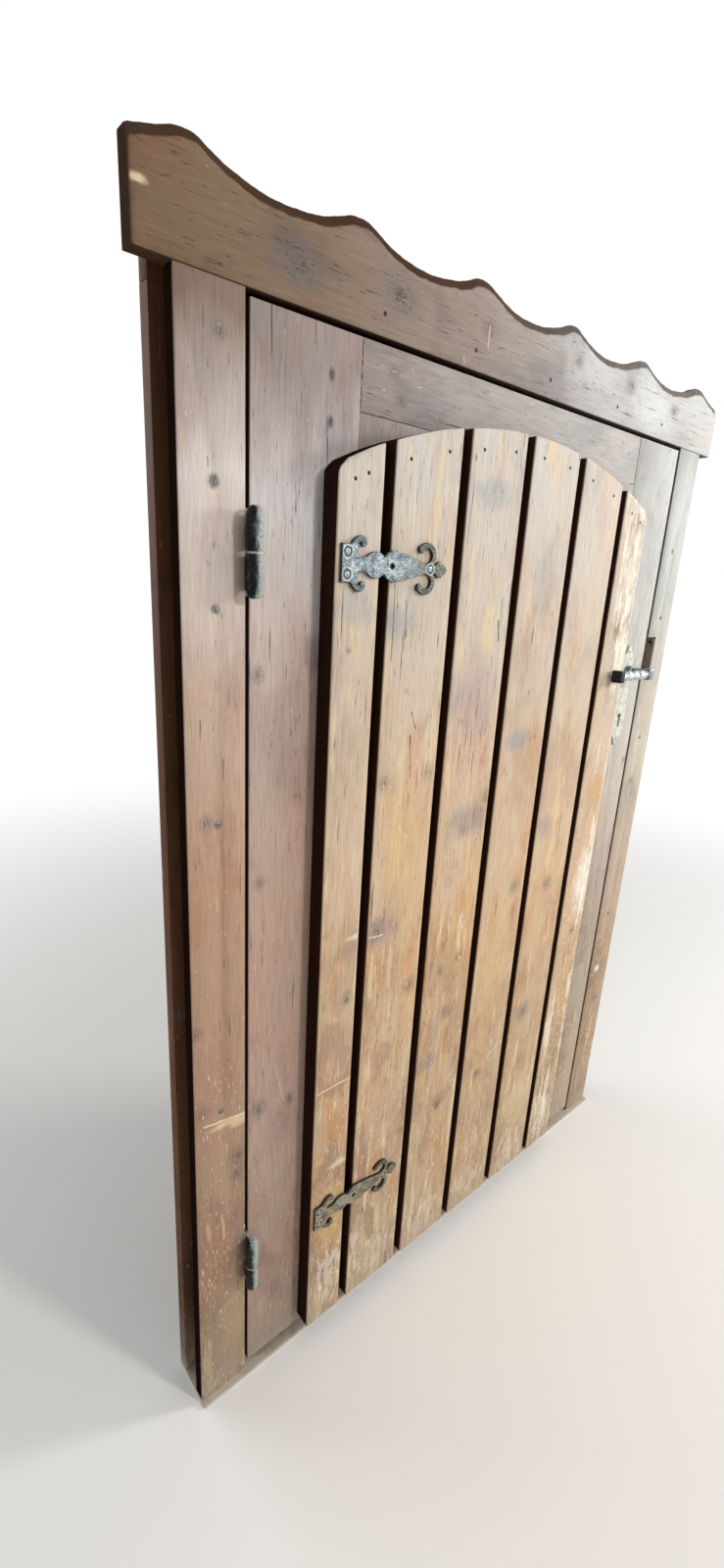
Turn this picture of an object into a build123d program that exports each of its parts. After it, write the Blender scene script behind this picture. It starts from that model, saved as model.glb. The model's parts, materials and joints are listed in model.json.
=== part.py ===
from build123d import *
import math
import os

# A small plank door in its wooden frame, in millimetres.
# X runs across the door, Y from the viewer into the opening, Z up.
# The origin is on the leaf opening's centre line, on the floor, in the plane of the casings' faces.
# The leaf hangs on the left and swings out, towards -Y.

# Leaf core
leaf_width = 860.0
leaf_height = 1409.0
leaf_thick = 40.0
left_stile_width = 138.0
right_stile_width = 130.0
top_rail_height = 72.0
middle_rail_height = 110.0
middle_rail_centre = 690.0
bottom_rail_height = 120.0
infill_thick = 24.0
infill_count = 5
infill_groove = 3.0
tenon_length = 40.0
tenon_thick = 12.0
tongue_length = 6.0
tongue_thick = 6.0
tongue_slack = 0.4

# Arched overlay of planks on the leaf's front
overlay_start = 91.5
overlay_foot = 35.0
plank_thick = 28.0
plank_face = 106.0
plank_chamfer = 7.0
plank_gap = 10.8
plank_lip = 12.0
first_plank_face = 62.3
last_plank_face = 73.6
plank_count = 6
arch_top = 1376.0
arch_radius = 775.0
arch_corner = 10.0

# Clearances round the leaf
hinge_gap = 5.0
lock_gap = 8.0
head_gap = 6.0
foot_gap = 14.0
stop_gap = 2.0

# Frame
sill_thick = 5.0
sill_nose = 8.0
casing_width = 72.0
casing_thick = 19.0
wall_channel = 34.0
rear_casing_thick = 19.0
jamb_thick = 45.0
jamb_housing = 10.0
stop_width = 15.0

# Wavy header board
header_overhang = 36.0
header_height = 98.7
header_proud = 1.0
wave_pitch = 192.6
wave_depth = 19.4
wave_crest_radius = 45.0
wave_first_crest = 52.0
wave_chamfer = 6.0

# Barrel hinges
barrel_length = 90.0
barrel_proud = 15.0
barrel_round = 6.0
barrel_radii = (9.0, 9.0, 7.2, 3.8)
barrel_sides = 24
hinge_pin_radius = 4.0
hinge_pin_slack = 0.05
hinge_washer_thick = 2.0
hinge_washer_proud = 0.4
hinge_washer_slack = 0.1
hinge_plate_thick = 2.0
hinge_plate_depth = 36.0
hinge_plate_margin = 2.0
upper_hinge_centre = 1201.0
lower_hinge_centre = 235.0

# Strap plates
strap_thick = 5.0
strap_inset = 4.5
strap_plate_length = 22.5
strap_plate_height = 41.0
strap_curl_width = 7.0
strap_hole_radius = 2.6
strap_hole = 74.5
strap_boss = 137.0
strap_boss_radius = 8.0
arc_steps = 5
round_sides = 16
upper_strap_centre = 1198.0
lower_strap_centre = 258.5

# Lock
backset = 57.0
spindle_height = 1047.0
key_drop = 92.0
lock_depth = 27.0
case_width = 84.5
case_height = 200.0
case_thick = 15.0
case_wall = 1.5
case_slack = 0.2
faceplate_width = 22.0
faceplate_height = 235.0
faceplate_thick = 3.0
bolt_thick = 11.0
latch_height = 24.0
latch_head = 24.0
latch_throw = 12.5
latch_rise = 25.0
latch_bevel = 8.0
dead_bolt_height = 30.0
dead_bolt_throw = 14.0
dead_bolt_rise = 20.0
dead_bolt_shy = 0.5
bolt_slack = 0.3
tail_thick = 6.0
tail_height = 6.0
follower_radius = 12.0
follower_collar = 8.0
follower_slack = 0.1
follower_arm = 23.0
follower_arm_width = 6.0
foot_slack = 2.5
keyhole_radius = 5.0
keyhole_slot = 6.0
keyhole_height = 25.0

# Handles and their plates
plate_width = 36.0
plate_height = 188.0
plate_thick = 3.0
plate_shoulder = 148.0
lever_reach = 106.5
lever_stand = 51.7
lever_depth = 18.4
lever_height = 20.0
lever_twist = 360.0
lever_chamfer = 3.0
square_side = 15.0
twist_steps = 28
lever_block = 13.0
lever_collar_radius = 11.0
lever_collar_length = 12.0
lever_neck_radius = 8.5
lever_neck_slack = 0.1
stile_way_slack = 1.2
lever_ring_width = 3.0
lever_ring_radius = 6.5
lever_plate_slack = 0.3
spindle_size = 8.0
spindle_slack = 0.1
spindle_bite = 33.0

# Latch notch in the lock-side casing, with its rusty wall plate
notch_depth = 31.0
notch_height = 72.0
notch_top = 1108.0
jamb_notch = 14.0
strike_thick = 2.0
strike_depth = 19.0
strike_height = 235.0
strike_web = 2.0
strike_margin = 6.0
pocket_slack = 1.0
notch_plate_thick = 2.5
notch_plate_margin = 1.0

# Fasteners: head radius, head thickness, shank radius, length
wood_screw = (4.0, 2.5, 2.0, 42.0)
hinge_screw = (3.4, 1.4, 1.8, 26.0)
small_screw = (3.4, 1.6, 1.6, 16.0)
short_screw = (3.4, 1.6, 1.6, 8.0)
plank_nail = (2.2, 1.0, 1.2, 40.0)
header_nail = (2.4, 1.0, 1.4, 46.0)
head_sides = 8
shank_sides = 4
casing_screw_inset = 37.0
casing_screw_heights = (514.0, 910.0, 1144.0, 1264.0)
rear_screw_heights = (150.0, 760.0, 1330.0)
header_nail_places = (243.0, 392.0, 547.0, 722.0, 863.0)
header_nail_rise = 22.0
plank_nail_drop = 24.0
plank_nail_inset = 22.0
hinge_screw_spread = 30.0
hinge_screw_depth = 26.0
strap_screw_inset = 7.5
strap_screw_spread = 12.0
plate_screw_spread = 82.0
faceplate_screw_spread = 110.0
strike_screw_spread = 108.0
notch_screw_spread = 26.0

# Places worked out from the sizes above
opening_width = leaf_width + hinge_gap + lock_gap
inner_left = -opening_width / 2
inner_right = opening_width / 2
outer_left = inner_left - casing_width
outer_right = inner_right + casing_width
leaf_left = inner_left + hinge_gap
leaf_right = leaf_left + leaf_width
leaf_foot = sill_thick + foot_gap
leaf_top = leaf_foot + leaf_height
head_line = leaf_top + head_gap
channel_front = casing_thick
channel_back = casing_thick + wall_channel
frame_back = channel_back + rear_casing_thick
overlay_left = leaf_left + overlay_start
plank_pitch = plank_face + plank_chamfer + plank_gap
barrel_x = inner_left + hinge_gap / 2
barrel_y = -barrel_proud
spindle_x = leaf_right - backset
key_z = spindle_height - key_drop
lock_centre = spindle_height - key_drop / 2
case_right = leaf_right - faceplate_thick
case_left = case_right - case_width
case_front = lock_depth - case_thick / 2
case_back = lock_depth + case_thick / 2
bolt_front = lock_depth - bolt_thick / 2
bolt_back = lock_depth + bolt_thick / 2
latch_z = spindle_height + latch_rise
dead_bolt_z = key_z + dead_bolt_rise
tall = 4000.0


def block(x0, x1, y0, y1, z0, z1):
    """A box between two corners."""
    return Pos((x0 + x1) / 2, (y0 + y1) / 2, (z0 + z1) / 2) * Box(x1 - x0, y1 - y0, z1 - z0)


def rod(x, z, radius, y0, y1):
    """A cylinder along Y."""
    return Pos(x, (y0 + y1) / 2, z) * Rot(90, 0, 0) * Cylinder(radius, y1 - y0)


def post(x, y, radius, z0, z1):
    """A cylinder along Z."""
    return Pos(x, y, (z0 + z1) / 2) * Cylinder(radius, z1 - z0)


def front_face_plane(y):
    """A sketch plane that faces the viewer: its X is the door's X, its Y is the door's Z."""
    return Plane(origin=(0, y, 0), x_dir=(1, 0, 0), z_dir=(0, -1, 0))


def slab(outline, y0, y1):
    """An outline drawn in X and Z, given the depth from y0 to y1."""
    return extrude(front_face_plane(y1) * outline, y1 - y0)


def many_sided(sides, radius, y):
    """A regular outline facing along Y, which keeps small round pieces light."""
    at = Plane(origin=(0, y, 0), x_dir=(1, 0, 0), z_dir=(0, 1, 0))
    return at * RegularPolygon(radius, sides)


def fastener(size):
    """A screw or nail along +Y with the top of its head at the origin."""
    head_radius, head_thick, shank_radius, length = size
    head = extrude(many_sided(head_sides, head_radius, 0), head_thick)
    shank = extrude(many_sided(shank_sides, shank_radius, head_thick), length - head_thick)
    return head + shank


def into_wood(size, places):
    """Fasteners driven towards +Y, their heads at the listed places."""
    return [Pos(*place) * fastener(size) for place in places]


def sideways(size, places, towards_right):
    """Fasteners driven along X, their heads at the listed places."""
    turn = Rot(0, 0, -90) if towards_right else Rot(0, 0, 90)
    return [Pos(*place) * turn * fastener(size) for place in places]


def cut(shape, tools):
    """Takes each tool away from the shape."""
    for tool in tools:
        shape = shape - tool
    return shape


def save(name, *solids):
    """Writes one node, as one solid or as a group of separate solids."""
    found = [solid for shape in solids for solid in shape.solids()]
    shape = found[0] if len(found) == 1 else Compound(children=found)
    export_step(shape, f"parts/{name}.step")


# Fasteners, which the wood and the plates are drilled for

header_nails = into_wood(header_nail, [
    (outer_left + place, -header_proud, head_line + header_nail_rise)
    for place in header_nail_places
])
casing_screws = into_wood(wood_screw, [
    (x, 0, z)
    for x in (outer_left + casing_screw_inset, outer_right - casing_screw_inset)
    for z in casing_screw_heights
])
rear_casing_screws = [Rot(0, 0, 180) * screw for screw in into_wood(wood_screw, [
    (x, -frame_back, z)
    for x in (outer_left + casing_screw_inset, outer_right - casing_screw_inset)
    for z in rear_screw_heights
])]


def hinge_screw_places(x):
    """Where a hinge plate's screws go, for both hinges."""
    return [
        (x, hinge_screw_depth, centre + side * hinge_screw_spread)
        for centre in (upper_hinge_centre, lower_hinge_centre)
        for side in (-1, 1)
    ]


frame_hinge_screws = sideways(
    hinge_screw, hinge_screw_places(inner_left + hinge_plate_thick), False)
leaf_hinge_screws = sideways(
    hinge_screw, hinge_screw_places(leaf_left - hinge_plate_thick), True)


def plank_left(index):
    """The left edge of a plank, counted from 0."""
    if index == 0:
        return overlay_left
    return overlay_left + first_plank_face + plank_chamfer + plank_gap + (index - 1) * plank_pitch


def plank_flat(index):
    """The width of a plank's flat face."""
    if index == 0:
        return first_plank_face
    if index == plank_count - 1:
        return last_plank_face
    return plank_face


leaf_centre = (leaf_left + leaf_right) / 2
overlay_right = plank_left(plank_count - 1) + last_plank_face


def arch_height(x):
    """The height of the arch over a place across the door."""
    return arch_top - arch_radius + math.sqrt(arch_radius ** 2 - (x - leaf_centre) ** 2)


plank_nail_places = [
    (x, -plank_thick, arch_height(x) - plank_nail_drop)
    for index in range(plank_count)
    for x in (plank_left(index) + plank_nail_inset,
              plank_left(index) + plank_flat(index) - plank_nail_inset)
]
plank_nails = into_wood(plank_nail, plank_nail_places)

strap_left = overlay_left + strap_inset
strap_screw_centres = [
    (strap_left + inset, centre + rise)
    for centre in (upper_strap_centre, lower_strap_centre)
    for inset, rise in ((strap_screw_inset, -strap_screw_spread),
                        (strap_screw_inset, strap_screw_spread), (strap_boss, 0))
]
strap_screws = into_wood(small_screw, [
    (x, -plank_thick - strap_thick, z) for x, z in strap_screw_centres
])

plate_screw_places = [
    (spindle_x, -plate_thick, lock_centre + side * plate_screw_spread) for side in (-1, 1)
]
outer_plate_screws = into_wood(small_screw, plate_screw_places)


def to_inside(shape):
    """The same piece on the leaf's other face, mirrored through its middle."""
    return mirror(shape, about=Plane(origin=(0, leaf_thick / 2, 0), z_dir=(0, 1, 0)))


inner_plate_screws = [to_inside(screw) for screw in into_wood(short_screw, plate_screw_places)]
faceplate_screws = sideways(small_screw, [
    (leaf_right, lock_depth, lock_centre + side * faceplate_screw_spread) for side in (-1, 1)
], False)
strike_middle = casing_thick + strike_depth / 2
strike_screws = sideways(small_screw, [
    (inner_right, strike_middle, lock_centre + side * strike_screw_spread) for side in (-1, 1)
], True)
notch_wall = inner_right + notch_depth
notch_middle = notch_top - notch_height / 2
notch_screws = sideways(small_screw, [
    (notch_wall - notch_plate_thick, casing_thick / 2, notch_middle + side * notch_screw_spread)
    for side in (-1, 1)
], True)

# Frame

threshold = block(outer_left, outer_right, -sill_nose, frame_back, 0, sill_thick)
jamb_top = head_line + jamb_thick


def jamb(x0, x1):
    """An upright of the frame, housed for the head jamb."""
    upright = block(x0, x1, channel_front, channel_back, sill_thick, jamb_top)
    housing = block(inner_left - jamb_housing, inner_right + jamb_housing,
                    channel_front, channel_back, head_line, jamb_top)
    return upright - housing


notch_foot = notch_top - notch_height
latch_path = block(inner_right, inner_right + jamb_notch, channel_front, bolt_back + strike_web,
                   latch_z - latch_height / 2 - strike_margin,
                   latch_z + latch_height / 2 + strike_margin)
bolt_pocket = block(inner_right, inner_right + dead_bolt_throw + strike_thick,
                    bolt_front - pocket_slack, bolt_back + pocket_slack,
                    dead_bolt_z - dead_bolt_height / 2 - pocket_slack,
                    dead_bolt_z + dead_bolt_height / 2 + pocket_slack)
strike_foot = lock_centre - strike_height / 2
strike_blank = block(inner_right, inner_right + strike_thick, casing_thick,
                     casing_thick + strike_depth, strike_foot, strike_foot + strike_height)

left_jamb = cut(jamb(inner_left - jamb_thick, inner_left), casing_screws + rear_casing_screws
                + frame_hinge_screws)
right_jamb = cut(jamb(inner_right, inner_right + jamb_thick), casing_screws + rear_casing_screws
                 + strike_screws + [latch_path, bolt_pocket, strike_blank])
head_jamb = cut(block(inner_left - jamb_housing, inner_right + jamb_housing,
                      channel_front, channel_back, head_line, jamb_top), header_nails)


def front_casing(x0, x1):
    """A flat board on the front of the frame."""
    return block(x0, x1, 0, casing_thick, sill_thick, head_line)


casing_notch = block(inner_right, notch_wall, 0, casing_thick, notch_foot, notch_top)
left_casing = cut(front_casing(outer_left, inner_left), casing_screws)
right_casing = cut(front_casing(inner_right, outer_right),
                   casing_screws + notch_screws + [casing_notch])


def rear_casing(x0, x1, z0, z1):
    """A flat board on the back of the frame."""
    return block(x0, x1, channel_back, frame_back, z0, z1)


rear_left_casing = cut(rear_casing(outer_left, inner_left, sill_thick, head_line),
                       rear_casing_screws)
rear_right_casing = cut(rear_casing(inner_right, outer_right, sill_thick, head_line),
                        rear_casing_screws)
rear_head_casing = rear_casing(outer_left, outer_right, head_line, head_line + casing_width)

stop_front = leaf_thick + stop_gap
stop_head = head_line - stop_width
hinge_side_stop = block(inner_left, inner_left + stop_width, stop_front, frame_back,
                        sill_thick, stop_head)
lock_side_stop = block(inner_right - stop_width, inner_right, stop_front, frame_back,
                       sill_thick, stop_head)
head_stop = block(inner_left, inner_right, stop_front, frame_back, stop_head, head_line)


def wave_outline(left, right, foot, crest):
    """A board's outline with a scalloped top: tight crests joined by wide hollows."""
    half_pitch = wave_pitch / 2
    radii = (half_pitch ** 2 + wave_depth ** 2) / (2 * wave_depth)
    reach = wave_crest_radius * half_pitch / radii
    shoulder = crest - wave_crest_radius + math.sqrt(wave_crest_radius ** 2 - reach ** 2)
    first = left + wave_first_crest - wave_pitch
    count = math.ceil((right - first) / wave_pitch) + 1
    with BuildSketch() as sketch:
        with BuildLine():
            for index in range(count):
                x = first + index * wave_pitch
                ThreePointArc((x - reach, shoulder), (x, crest), (x + reach, shoulder))
                ThreePointArc((x + reach, shoulder), (x + half_pitch, crest - wave_depth),
                              (x + wave_pitch - reach, shoulder))
            start = first - reach
            end = first + count * wave_pitch - reach
            Polyline((end, shoulder), (end, foot), (start, foot), (start, shoulder))
        make_face()
        with Locations(((left + right) / 2, (foot + crest) / 2)):
            Rectangle(right - left, crest - foot, mode=Mode.INTERSECT)
    return sketch.sketch


header_left = outer_left - header_overhang
header_right = outer_right + header_overhang
header_crest = head_line + header_height
wavy_header = slab(wave_outline(header_left, header_right, head_line, header_crest),
                   -header_proud, casing_thick)
wave_edges = [
    edge for edge in wavy_header.edges()
    if abs(edge.center().Y + header_proud) < 0.01
    and edge.bounding_box().min.Z > header_crest - wave_depth - 1
]
wavy_header = cut(chamfer(wave_edges, wave_chamfer), header_nails)

# Hinges


def barrel(z0, z1, dome_up):
    """Half of a hinge barrel, many-sided and rounded at its outer end."""
    flat, end = (z0, z1) if dome_up else (z1, z0)
    step = barrel_round if dome_up else -barrel_round
    heights = (flat, end - step, end - step * 0.35, end)
    sections = [
        Plane(origin=(barrel_x, barrel_y, height)) * RegularPolygon(radius, barrel_sides)
        for height, radius in zip(heights, barrel_radii)
    ]
    return loft(sections, ruled=True)


def hinge_plate(x0, x1, centre, neck_foot, neck_top):
    """A hinge's flat plate in the gap, with the neck that joins it to the barrel."""
    half = barrel_length / 2 - hinge_plate_margin
    flat = block(x0, x1, 0, hinge_plate_depth, centre - half, centre + half)
    return flat + block(x0, x1, barrel_y, 0, neck_foot, neck_top)


def hinge_halves(centre):
    """The frame's half, the leaf's half, the pin and the washer of one hinge."""
    half = barrel_length / 2
    gap = hinge_washer_thick / 2
    pin = post(barrel_x, barrel_y, hinge_pin_radius, centre - half + barrel_round,
               centre + half - 2 * barrel_round)
    bore = post(barrel_x, barrel_y, hinge_pin_radius + hinge_pin_slack, centre + gap,
                centre + half - 2 * barrel_round + 1)
    neck = hinge_plate_margin + barrel_round
    lower = barrel(centre - half, centre - gap, False)
    lower += hinge_plate(inner_left, inner_left + hinge_plate_thick, centre,
                         centre - half + neck, centre - gap - hinge_plate_margin)
    upper = barrel(centre + gap + hinge_washer_slack, centre + half, True)
    upper += hinge_plate(leaf_left - hinge_plate_thick, leaf_left, centre,
                         centre + gap + hinge_plate_margin, centre + half - neck)
    rim = Plane(origin=(barrel_x, barrel_y, centre - gap))
    rim = rim * RegularPolygon(barrel_radii[0] + hinge_washer_proud, barrel_sides)
    washer = extrude(rim, hinge_washer_thick)
    washer -= post(barrel_x, barrel_y, hinge_pin_radius + hinge_pin_slack, centre - gap,
                   centre + gap)
    return cut(lower, [pin] + frame_hinge_screws), cut(upper, [bore] + leaf_hinge_screws), pin, washer


hinges = [hinge_halves(centre) for centre in (upper_hinge_centre, lower_hinge_centre)]
frame_hinge_halves, leaf_hinge_halves, hinge_pins, hinge_washers = zip(*hinges)

# Lock openings, which the stile, the plates and the case share


def keyhole(y0, y1):
    """The keyhole's shape, cut from y0 to y1: a round top and a slot under it."""
    top = key_z + keyhole_height / 2 - keyhole_radius
    foot = key_z - keyhole_height / 2
    slot = block(spindle_x - keyhole_slot / 2, spindle_x + keyhole_slot / 2, y0, y1, foot, top)
    eye = extrude(many_sided(round_sides, keyhole_radius, y0), y1 - y0)
    return Pos(spindle_x, 0, top) * eye + slot


def lock_space(margin):
    """The lock case's outer shape, larger all round by a margin."""
    return block(case_left - margin, case_right, case_front - margin, case_back + margin,
                 lock_centre - case_height / 2 - margin, lock_centre + case_height / 2 + margin)


def latch_window(x0, x1):
    """The opening that the latch's head slides in."""
    return block(x0, x1, bolt_front - bolt_slack, bolt_back + bolt_slack,
                 latch_z - latch_height / 2 - bolt_slack, latch_z + latch_height / 2 + bolt_slack)


def dead_bolt_window(x0, x1):
    """The opening that the dead bolt slides in."""
    return block(x0, x1, bolt_front - bolt_slack, bolt_back + bolt_slack,
                 dead_bolt_z - dead_bolt_height / 2 - bolt_slack,
                 dead_bolt_z + dead_bolt_height / 2 + bolt_slack)


faceplate_space = block(case_right, leaf_right, lock_depth - faceplate_width / 2,
                        lock_depth + faceplate_width / 2, lock_centre - faceplate_height / 2,
                        lock_centre + faceplate_height / 2)
neck_bore = lever_neck_radius + lever_neck_slack
key_way = keyhole(-tall, tall)
neck_way = rod(spindle_x, spindle_height, neck_bore, -tall, tall)
stile_way = extrude(many_sided(round_sides, neck_bore + stile_way_slack, -tall), 2 * tall)
stile_way = Pos(spindle_x, 0, spindle_height) * stile_way

# Leaf core

rail_left = leaf_left + left_stile_width
rail_right = leaf_right - right_stile_width
tenon_front = (leaf_thick - tenon_thick) / 2
rail_spans = {
    "top_rail": (leaf_top - top_rail_height, leaf_top),
    "middle_rail": (middle_rail_centre - middle_rail_height / 2,
                    middle_rail_centre + middle_rail_height / 2),
    "bottom_rail": (leaf_foot, leaf_foot + bottom_rail_height),
}


def tenon(z0, z1, x0, x1):
    """A rail's tenon, set in from the rail's top and foot by a sixth of its height."""
    shoulder = (z1 - z0) / 6
    return block(x0, x1, tenon_front, tenon_front + tenon_thick, z0 + shoulder, z1 - shoulder)


def rail(z0, z1):
    """A cross member of the leaf, with a tenon at each end."""
    body = block(rail_left, rail_right, 0, leaf_thick, z0, z1)
    body += tenon(z0, z1, rail_left - tenon_length, rail_left)
    return body + tenon(z0, z1, rail_right, rail_right + tenon_length)


def infill_tongue(z, up, slack=0.0):
    """The tongue on the infill boards' ends, or with slack the groove for it in a rail."""
    length = tongue_length + slack
    middle = infill_thick / 2
    half = (tongue_thick + slack) / 2
    z0, z1 = (z, z + length) if up else (z - length, z)
    return block(rail_left, rail_right, middle - half, middle + half, z0, z1)


bottom_span, middle_span, top_span = (
    rail_spans["bottom_rail"], rail_spans["middle_rail"], rail_spans["top_rail"])
rail_grooves = [
    infill_tongue(bottom_span[1], False, tongue_slack),
    infill_tongue(middle_span[0], True, tongue_slack),
    infill_tongue(middle_span[1], False, tongue_slack),
    infill_tongue(top_span[0], True, tongue_slack),
]
mortises_left = [tenon(z0, z1, rail_left - tenon_length, rail_left)
                 for z0, z1 in rail_spans.values()]
mortises_right = [tenon(z0, z1, rail_right, rail_right + tenon_length)
                  for z0, z1 in rail_spans.values()]
rails = {name: cut(rail(*span), rail_grooves + plank_nails) for name, span in rail_spans.items()}

left_stile = cut(block(leaf_left, rail_left, 0, leaf_thick, leaf_foot, leaf_top),
                 mortises_left + leaf_hinge_screws + plank_nails)
right_stile = cut(block(rail_right, leaf_right, 0, leaf_thick, leaf_foot, leaf_top),
                  mortises_right + outer_plate_screws + inner_plate_screws + faceplate_screws
                  + plank_nails
                  + [lock_space(case_slack), faceplate_space, key_way, stile_way])


def infill_board(index, z0, z1):
    """One upright board between two rails, with a V groove at each joint on the back."""
    width = (rail_right - rail_left) / infill_count
    x0 = rail_left + index * width
    x1 = x0 + width
    body = block(x0, x1, 0, infill_thick, z0, z1)
    back_edges = body.edges().filter_by(Axis.Z).group_by(Axis.Y)[-1]
    body = chamfer(back_edges, infill_groove)
    ends = infill_tongue(z1, True) + infill_tongue(z0, False)
    return body + (ends & block(x0, x1, 0, infill_thick, z0 - tongue_length, z1 + tongue_length))


lower_infill = [cut(infill_board(index, bottom_span[1], middle_span[0]), plank_nails)
                for index in range(infill_count)]
upper_infill = [cut(infill_board(index, middle_span[1], top_span[0]), plank_nails)
                for index in range(infill_count)]

# Arched overlay


def arch_space():
    """Everything under the arch, rounded at its two corners."""
    left_top = arch_height(overlay_left)
    right_top = arch_height(overlay_right)
    with BuildSketch() as sketch:
        with BuildLine():
            ThreePointArc((overlay_left, left_top), (leaf_centre, arch_top),
                          (overlay_right, right_top))
            Polyline((overlay_right, right_top), (overlay_right, overlay_foot),
                     (overlay_left, overlay_foot), (overlay_left, left_top))
        make_face()
        corners = sketch.vertices().sort_by(Axis.Y)[-2:]
        fillet(corners, arch_corner)
    return slab(sketch.sketch, -plank_thick, 0)


def plank_section(index):
    """A plank's cross section: square left edge, chamfered right edge, lip and tongue."""
    left = plank_left(index)
    flat = left + plank_flat(index)
    front = -plank_thick
    if index == plank_count - 1:
        return make_face(Polyline((left, front), (flat, front), (flat, 0), (left, 0), close=True))
    shoulder = flat + plank_chamfer
    lip_end = shoulder + plank_gap
    tongue_end = lip_end + tongue_length
    tongue_front = -(plank_lip + tongue_thick) / 2
    tongue_back = -(plank_lip - tongue_thick) / 2
    return make_face(Polyline(
        (left, front), (flat, front), (shoulder, front + plank_chamfer), (shoulder, -plank_lip),
        (lip_end, -plank_lip), (lip_end, tongue_front), (tongue_end, tongue_front),
        (tongue_end, tongue_back), (lip_end, tongue_back), (lip_end, 0), (left, 0), close=True))


def plank_groove(index):
    """The groove in a plank's left edge that the last plank's tongue enters."""
    left = plank_left(index)
    half = (tongue_thick + tongue_slack) / 2
    return block(left, left + tongue_length + tongue_slack, -plank_lip / 2 - half,
                 -plank_lip / 2 + half, 0, tall)


under_arch = arch_space()


def plank(index):
    """One plank of the overlay, cut to the arch."""
    body = extrude(plank_section(index), tall, dir=(0, 0, 1))
    if index > 0:
        body -= plank_groove(index)
    arch = under_arch
    if index < plank_count - 1:
        reach = plank_left(index + 1) + tongue_length
        arch = arch & block(overlay_left, reach, -plank_thick, 0, 0, tall)
    return cut(body & arch, plank_nails + strap_screws)


planks = [plank(index) for index in range(plank_count)]

# Strap plates


def along_arc(start, middle, end):
    """Points along the arc through three points, without its start, arc_steps of them."""
    arc = ThreePointArc(start, middle, end, mode=Mode.PRIVATE)
    places = [arc @ ((step + 1) / arc_steps) for step in range(arc_steps)]
    return [(place.X, place.Y) for place in places]


def chords(points):
    """Short chords along arcs: each arc has a start, a middle and an end, which starts the next."""
    line = [points[0]]
    for index in range(0, len(points) - 2, 2):
        line += along_arc(*points[index:index + 3])
    return line


def closed_face(line):
    """The face inside a closed line of points."""
    return make_face(Polyline(*line, close=True))


def both_sides(face):
    """A face and its mirror image across the strap's centre line."""
    return face + mirror(face, about=Plane.XZ)


def half_leaf(points):
    """A closed face from an upper edge of arcs and its mirror image below."""
    line = chords(points)
    return closed_face(line + [(x, -y) for x, y in reversed(line)])


def curl(points, tip_radius):
    """One curled arm and its mirror image: a ribbon along arcs with a round end."""
    line = chords(points)
    outer = []
    inner = []
    for index, (x, y) in enumerate(line):
        before = line[max(index - 1, 0)]
        after = line[min(index + 1, len(line) - 1)]
        run = math.hypot(after[0] - before[0], after[1] - before[1])
        across_x = (before[1] - after[1]) / run * strap_curl_width / 2
        across_y = (after[0] - before[0]) / run * strap_curl_width / 2
        outer.append((x + across_x, y + across_y))
        inner.append((x - across_x, y - across_y))
    ribbon = closed_face(outer + inner[::-1])
    return both_sides(ribbon + Pos(*line[-1]) * RegularPolygon(tip_radius, round_sides))


def strap_outline():
    """The fleur-de-lis outline, drawn from the strap's left end along its own X."""
    plate = Pos(strap_plate_length / 2, 0) * Rectangle(strap_plate_length, strap_plate_height)
    shape = plate + half_leaf([(20, 10), (28.5, 8), (36, 8.8), (50, 14.9), (64, 7.6)])
    shape += half_leaf([(61, 7.4), (67, 14), (77, 17.6), (101, 13.2), (125, 7.2)])
    shape += half_leaf([(118, 8), (129, 6.4), (140, 6.6)])
    shape += Pos(strap_boss, 0) * RegularPolygon(strap_boss_radius, round_sides)
    shape += half_leaf([(142, 5), (146, 5.2), (149, 7.6), (154, 9.8), (159, 7.5), (163.5, 4.2),
                        (167, 0.5)])
    shape += curl([(15.5, 17), (19.5, 23.4), (26, 26.6), (29.6, 25.6), (31, 22.5)], 4.2)
    shape += curl([(138, 5), (143.4, 13), (141, 22), (133, 26.8), (121.5, 22)], 4.8)
    return shape


def strap(centre):
    """A strap plate on the planks, with its holes drilled."""
    at = Plane(origin=(strap_left, -plank_thick, centre), x_dir=(1, 0, 0), z_dir=(0, -1, 0))
    body = extrude(at * strap_outline(), strap_thick)
    centre_hole = many_sided(round_sides, strap_hole_radius, -tall)
    centre_hole = Pos(strap_left + strap_hole, 0, centre) * extrude(centre_hole, 2 * tall)
    return cut(body, [centre_hole] + strap_screws)


straps = [strap(centre) for centre in (upper_strap_centre, lower_strap_centre)]

# Lock

case_foot = lock_centre - case_height / 2
case_top = lock_centre + case_height / 2
cavity = block(case_left + case_wall, case_right - case_wall, case_front + case_wall,
               case_back - case_wall, case_foot + case_wall, case_top - case_wall)
follower_way = rod(spindle_x, spindle_height, follower_collar + follower_slack, -tall, tall)
cover_space = block(case_left, case_right, case_front, case_front + case_wall, case_foot, case_top)
lock_case = cut(lock_space(0), [cavity, cover_space, follower_way, key_way,
                                latch_window(case_right - case_wall, case_right),
                                dead_bolt_window(case_right - case_wall, case_right)])
lock_cover = cut(cover_space, [follower_way, key_way])
lock_faceplate = cut(faceplate_space, [latch_window(case_right, leaf_right),
                                       dead_bolt_window(case_right, leaf_right)]
                     + faceplate_screws)

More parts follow.
